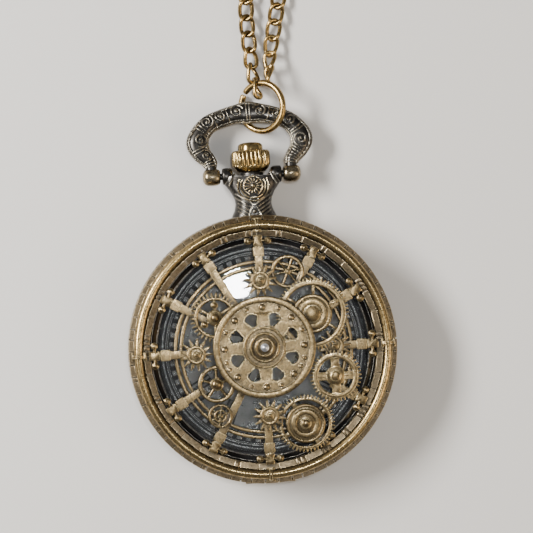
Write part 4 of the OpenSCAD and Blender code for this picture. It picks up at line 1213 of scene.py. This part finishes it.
def make_jump_ring(metal):
    centre, r, wire, lean, start = Vector((2.6, 43.0, 3.05)), 4.3, 0.57, -34, 147
    place = Matrix.Translation(centre) @ turned(lean, "Y")
    path = [place @ Vector((*polar(r, start + 354 * k / 90), 0)) for k in range(91)]
    normal = place.to_3x3() @ Vector((0, 0, 1))
    shape = Shape()
    shape.add(tube(path, [wire * 0.8] + [wire] * 89 + [wire * 0.8], 20, normal))
    make_piece("ring_wire", shape, metal["gold_worn"], "chain_body", ["jump_ring"])


# ---- Case, crystal and dial ----

BAND_ROWS = (([(22.6, 7.3), (23.45, 7.3), (23.82, 6.2), (23.2, 6.1)], 2.2, HINGE_GAP),
             ([(23.2, 6.0), (23.84, 6.0), (23.84, 4.95), (23.3, 4.95)], 1.9, 0),
             ([(22.9, 3.7), (23.4, 3.6), (23.8, 4.8), (23.3, 4.85)], 2.2, 0))


def make_case(metal):
    """Rows of bricks round the case band, the bezel with two lines, and the crystal."""
    rng = random.Random(9)
    rows = Shape()
    for section, long, hinge_gap in BAND_ROWS:
        bricks(rows, section, rng, long=long, hinge_gap=hinge_gap, **OUTER_BRICKS)
    make_piece("band_bricks", rows, metal["brick"], "case")
    bezel = Shape()
    inner = GLASS_R - 0.25
    profile = [(inner, 6.35), (19.88, 6.35), (19.88, 6.46), (20.5, 6.46), (20.5, 7.7), (19.85, 7.92),
               (19.7, 8.1), (19.1, 8.42), (18.9, 8.48), (18.72, 8.44), (18.72, 7.22), (inner, 7.22)]
    bezel.add(lathe(profile, 200, closed=True))
    # Painted shade: the bronze bezel is given the black material because it sits in deep shadow under the
    # cover.
    make_piece("bezel_ring", bezel, metal["black"], "case", ["crystal_bezel"])
    lines = Shape()
    lines.add(ring(18.74, 18.98, 8.3, 8.54, 0.08, 200), ring(19.72, 19.9, 7.95, 8.1, 0.06, 200))
    make_piece("bezel_lines", lines, metal["gunmetal"], "case")
    glass = Shape()
    z = low("crystal").z
    profile = [(0, z), (GLASS_R - 0.05, z), (GLASS_R, z + 0.05), (GLASS_R, z + 0.85)]
    for share in (1 - i / 14 for i in range(15)):
        profile.append((GLASS_R * share, z + 0.9 + 0.75 * (1 - share ** 2)))
    glass.add(lathe(profile, 160))
    make_piece("crystal_dome", glass, metal["glass"], "case", ["crystal"])


NUMERALS = ("XII", "I", "II", "III", "IIII", "V", "VI", "VII", "VIII", "IX", "X", "XI")
LETTER_WIDTHS = {"I": 0.75, "V": 1.5, "X": 1.5}
THICK, THIN = 0.34, 0.16
NUMERAL_FOOT, NUMERAL_HEAD = 10.6, 14.4
MINUTE_MARKS = ((15.65, 16.5, 1.6),)
FIVE_MINUTE_MARKS = ((15.6, 15.75, 3.0), (16.4, 16.55, 3.0), (15.95, 16.2, 2.0))


def text_width(text):
    return sum(LETTER_WIDTHS[letter] for letter in text)


def numeral(text):
    """Strokes of a Roman numeral as (x at foot, x at head, width)."""
    x = -text_width(text) / 2
    made = []
    for letter in text:
        end = x + LETTER_WIDTHS[letter]
        mid = (x + end) / 2
        if letter == "I":
            made.append((mid, mid, THICK))
        elif letter == "V":
            made += [(mid, x + 0.2, THICK), (mid, end - 0.2, THIN)]
        else:
            made += [(end - 0.2, x + 0.2, THICK), (x + 0.2, end - 0.2, THIN)]
        x = end
    return made


def flat_rings(*radii):
    """Thin rings on the dial, one for each pair of radii."""
    shape = Shape()
    for r0, r1 in radii:
        shape.add(ring(r0, r1, DIAL_TOP - 0.02, DIAL_TOP + 0.035, 0.012, 200))
    return shape


def minute_track():
    shape = Shape()
    z0, z1 = DIAL_TOP - 0.02, DIAL_TOP + 0.045
    for r in (15.35, 16.82):
        shape.add(ring(r - 0.06, r + 0.06, DIAL_TOP - 0.02, DIAL_TOP + 0.04, 0.012, 200))
    for minute in range(60):
        a = 90 - 6 * minute
        for r0, r1, half in MINUTE_MARKS if minute % 5 else FIVE_MINUTE_MARKS:
            shape.add(ring_block([(r0, z0), (r1, z0), (r1, z1), (r0, z1)], a - half, a + half, 0.02))
    return shape


def numerals():
    """All twelve numerals, each with a bar at its head and at its foot."""
    shape = Shape()
    for hour, text in enumerate(NUMERALS):
        outlines = []
        for foot, head, width in numeral(text):
            u = width / 2
            outlines.append([(foot - u, NUMERAL_FOOT), (foot + u, NUMERAL_FOOT), (head + u, NUMERAL_HEAD),
                             (head - u, NUMERAL_HEAD)])
        half = text_width(text) / 2
        for y in (NUMERAL_FOOT - 0.1, NUMERAL_HEAD):
            outlines.append([(-half, y), (half, y), (half, y + 0.12), (-half, y + 0.12)])
        for outline in outlines:
            shape.add(plate(outline, [], DIAL_TOP + 0.02, DIAL_TOP + 0.07, 0.01, 1), at=turned(-30 * hour))
    return shape


def make_dial(metal):
    base = Shape()
    base.add(ring(0.9, 19.3, low("dial").z, DIAL_TOP, 0.04, 200))
    # The centre ring takes the darker grey, partly painted shade under the cover.
    layers = {"centre": (flat_rings((2.2, 15.2)), "shaded_grey"),
              "plate": (base, "black"),
              "rings": (flat_rings((17.55, 17.85), (17.02, 17.18)), "silver"),
              "track": (minute_track(), "silver"),
              "numerals": (numerals(), "print")}
    for name, (shape, look) in layers.items():
        make_piece("dial_" + name, shape, metal[look], "case", ["dial"])


SLOT_METALS = {"case_brass": "bronze", "cover_brass": "rim", "wheel_brass": "bronze", "rivet_metal": "rivet",
               "gunmetal": "gunmetal", "gold_metal": "gold", "chain_metal": "gold_worn", "steel": "steel",
               "movement_brass": "brass", "board": "board", "winding": "copper", "gasket": "rubber",
               "glass": "glass", "dial_silver": "silver", "movement_plastic": "plastic",
               "hand_black": "print"}


def dress_nodes(metal):
    """Better materials for the CAD nodes that stay."""
    for part in frame["record"]["subparts"]:
        mesh = frame["nodes"][part["node"]].data
        mesh.materials.clear()
        mesh.materials.append(metal[SLOT_METALS[part["material_slot"]]])
    # Painted shade: the press sleeve and stem take the dark gunmetal so the gap under the crown reads as
    # shadow; the bow screws take the same gunmetal.
    for node in ("press_sleeve", "stem", "bow_screws"):
        frame["nodes"][node].data.materials[0] = metal["gunmetal"]


make_camera()
make_stage()
metal = make_materials()
make_chain(metal["gold_worn"])
dress_nodes(metal)
make_rim(metal)
make_clips(metal)
make_lattice(metal)
make_central(metal)
make_wheels(metal)
make_bow(metal)
make_pendant(metal)
make_crown(metal)
make_jump_ring(metal)
make_case(metal)
make_dial(metal)
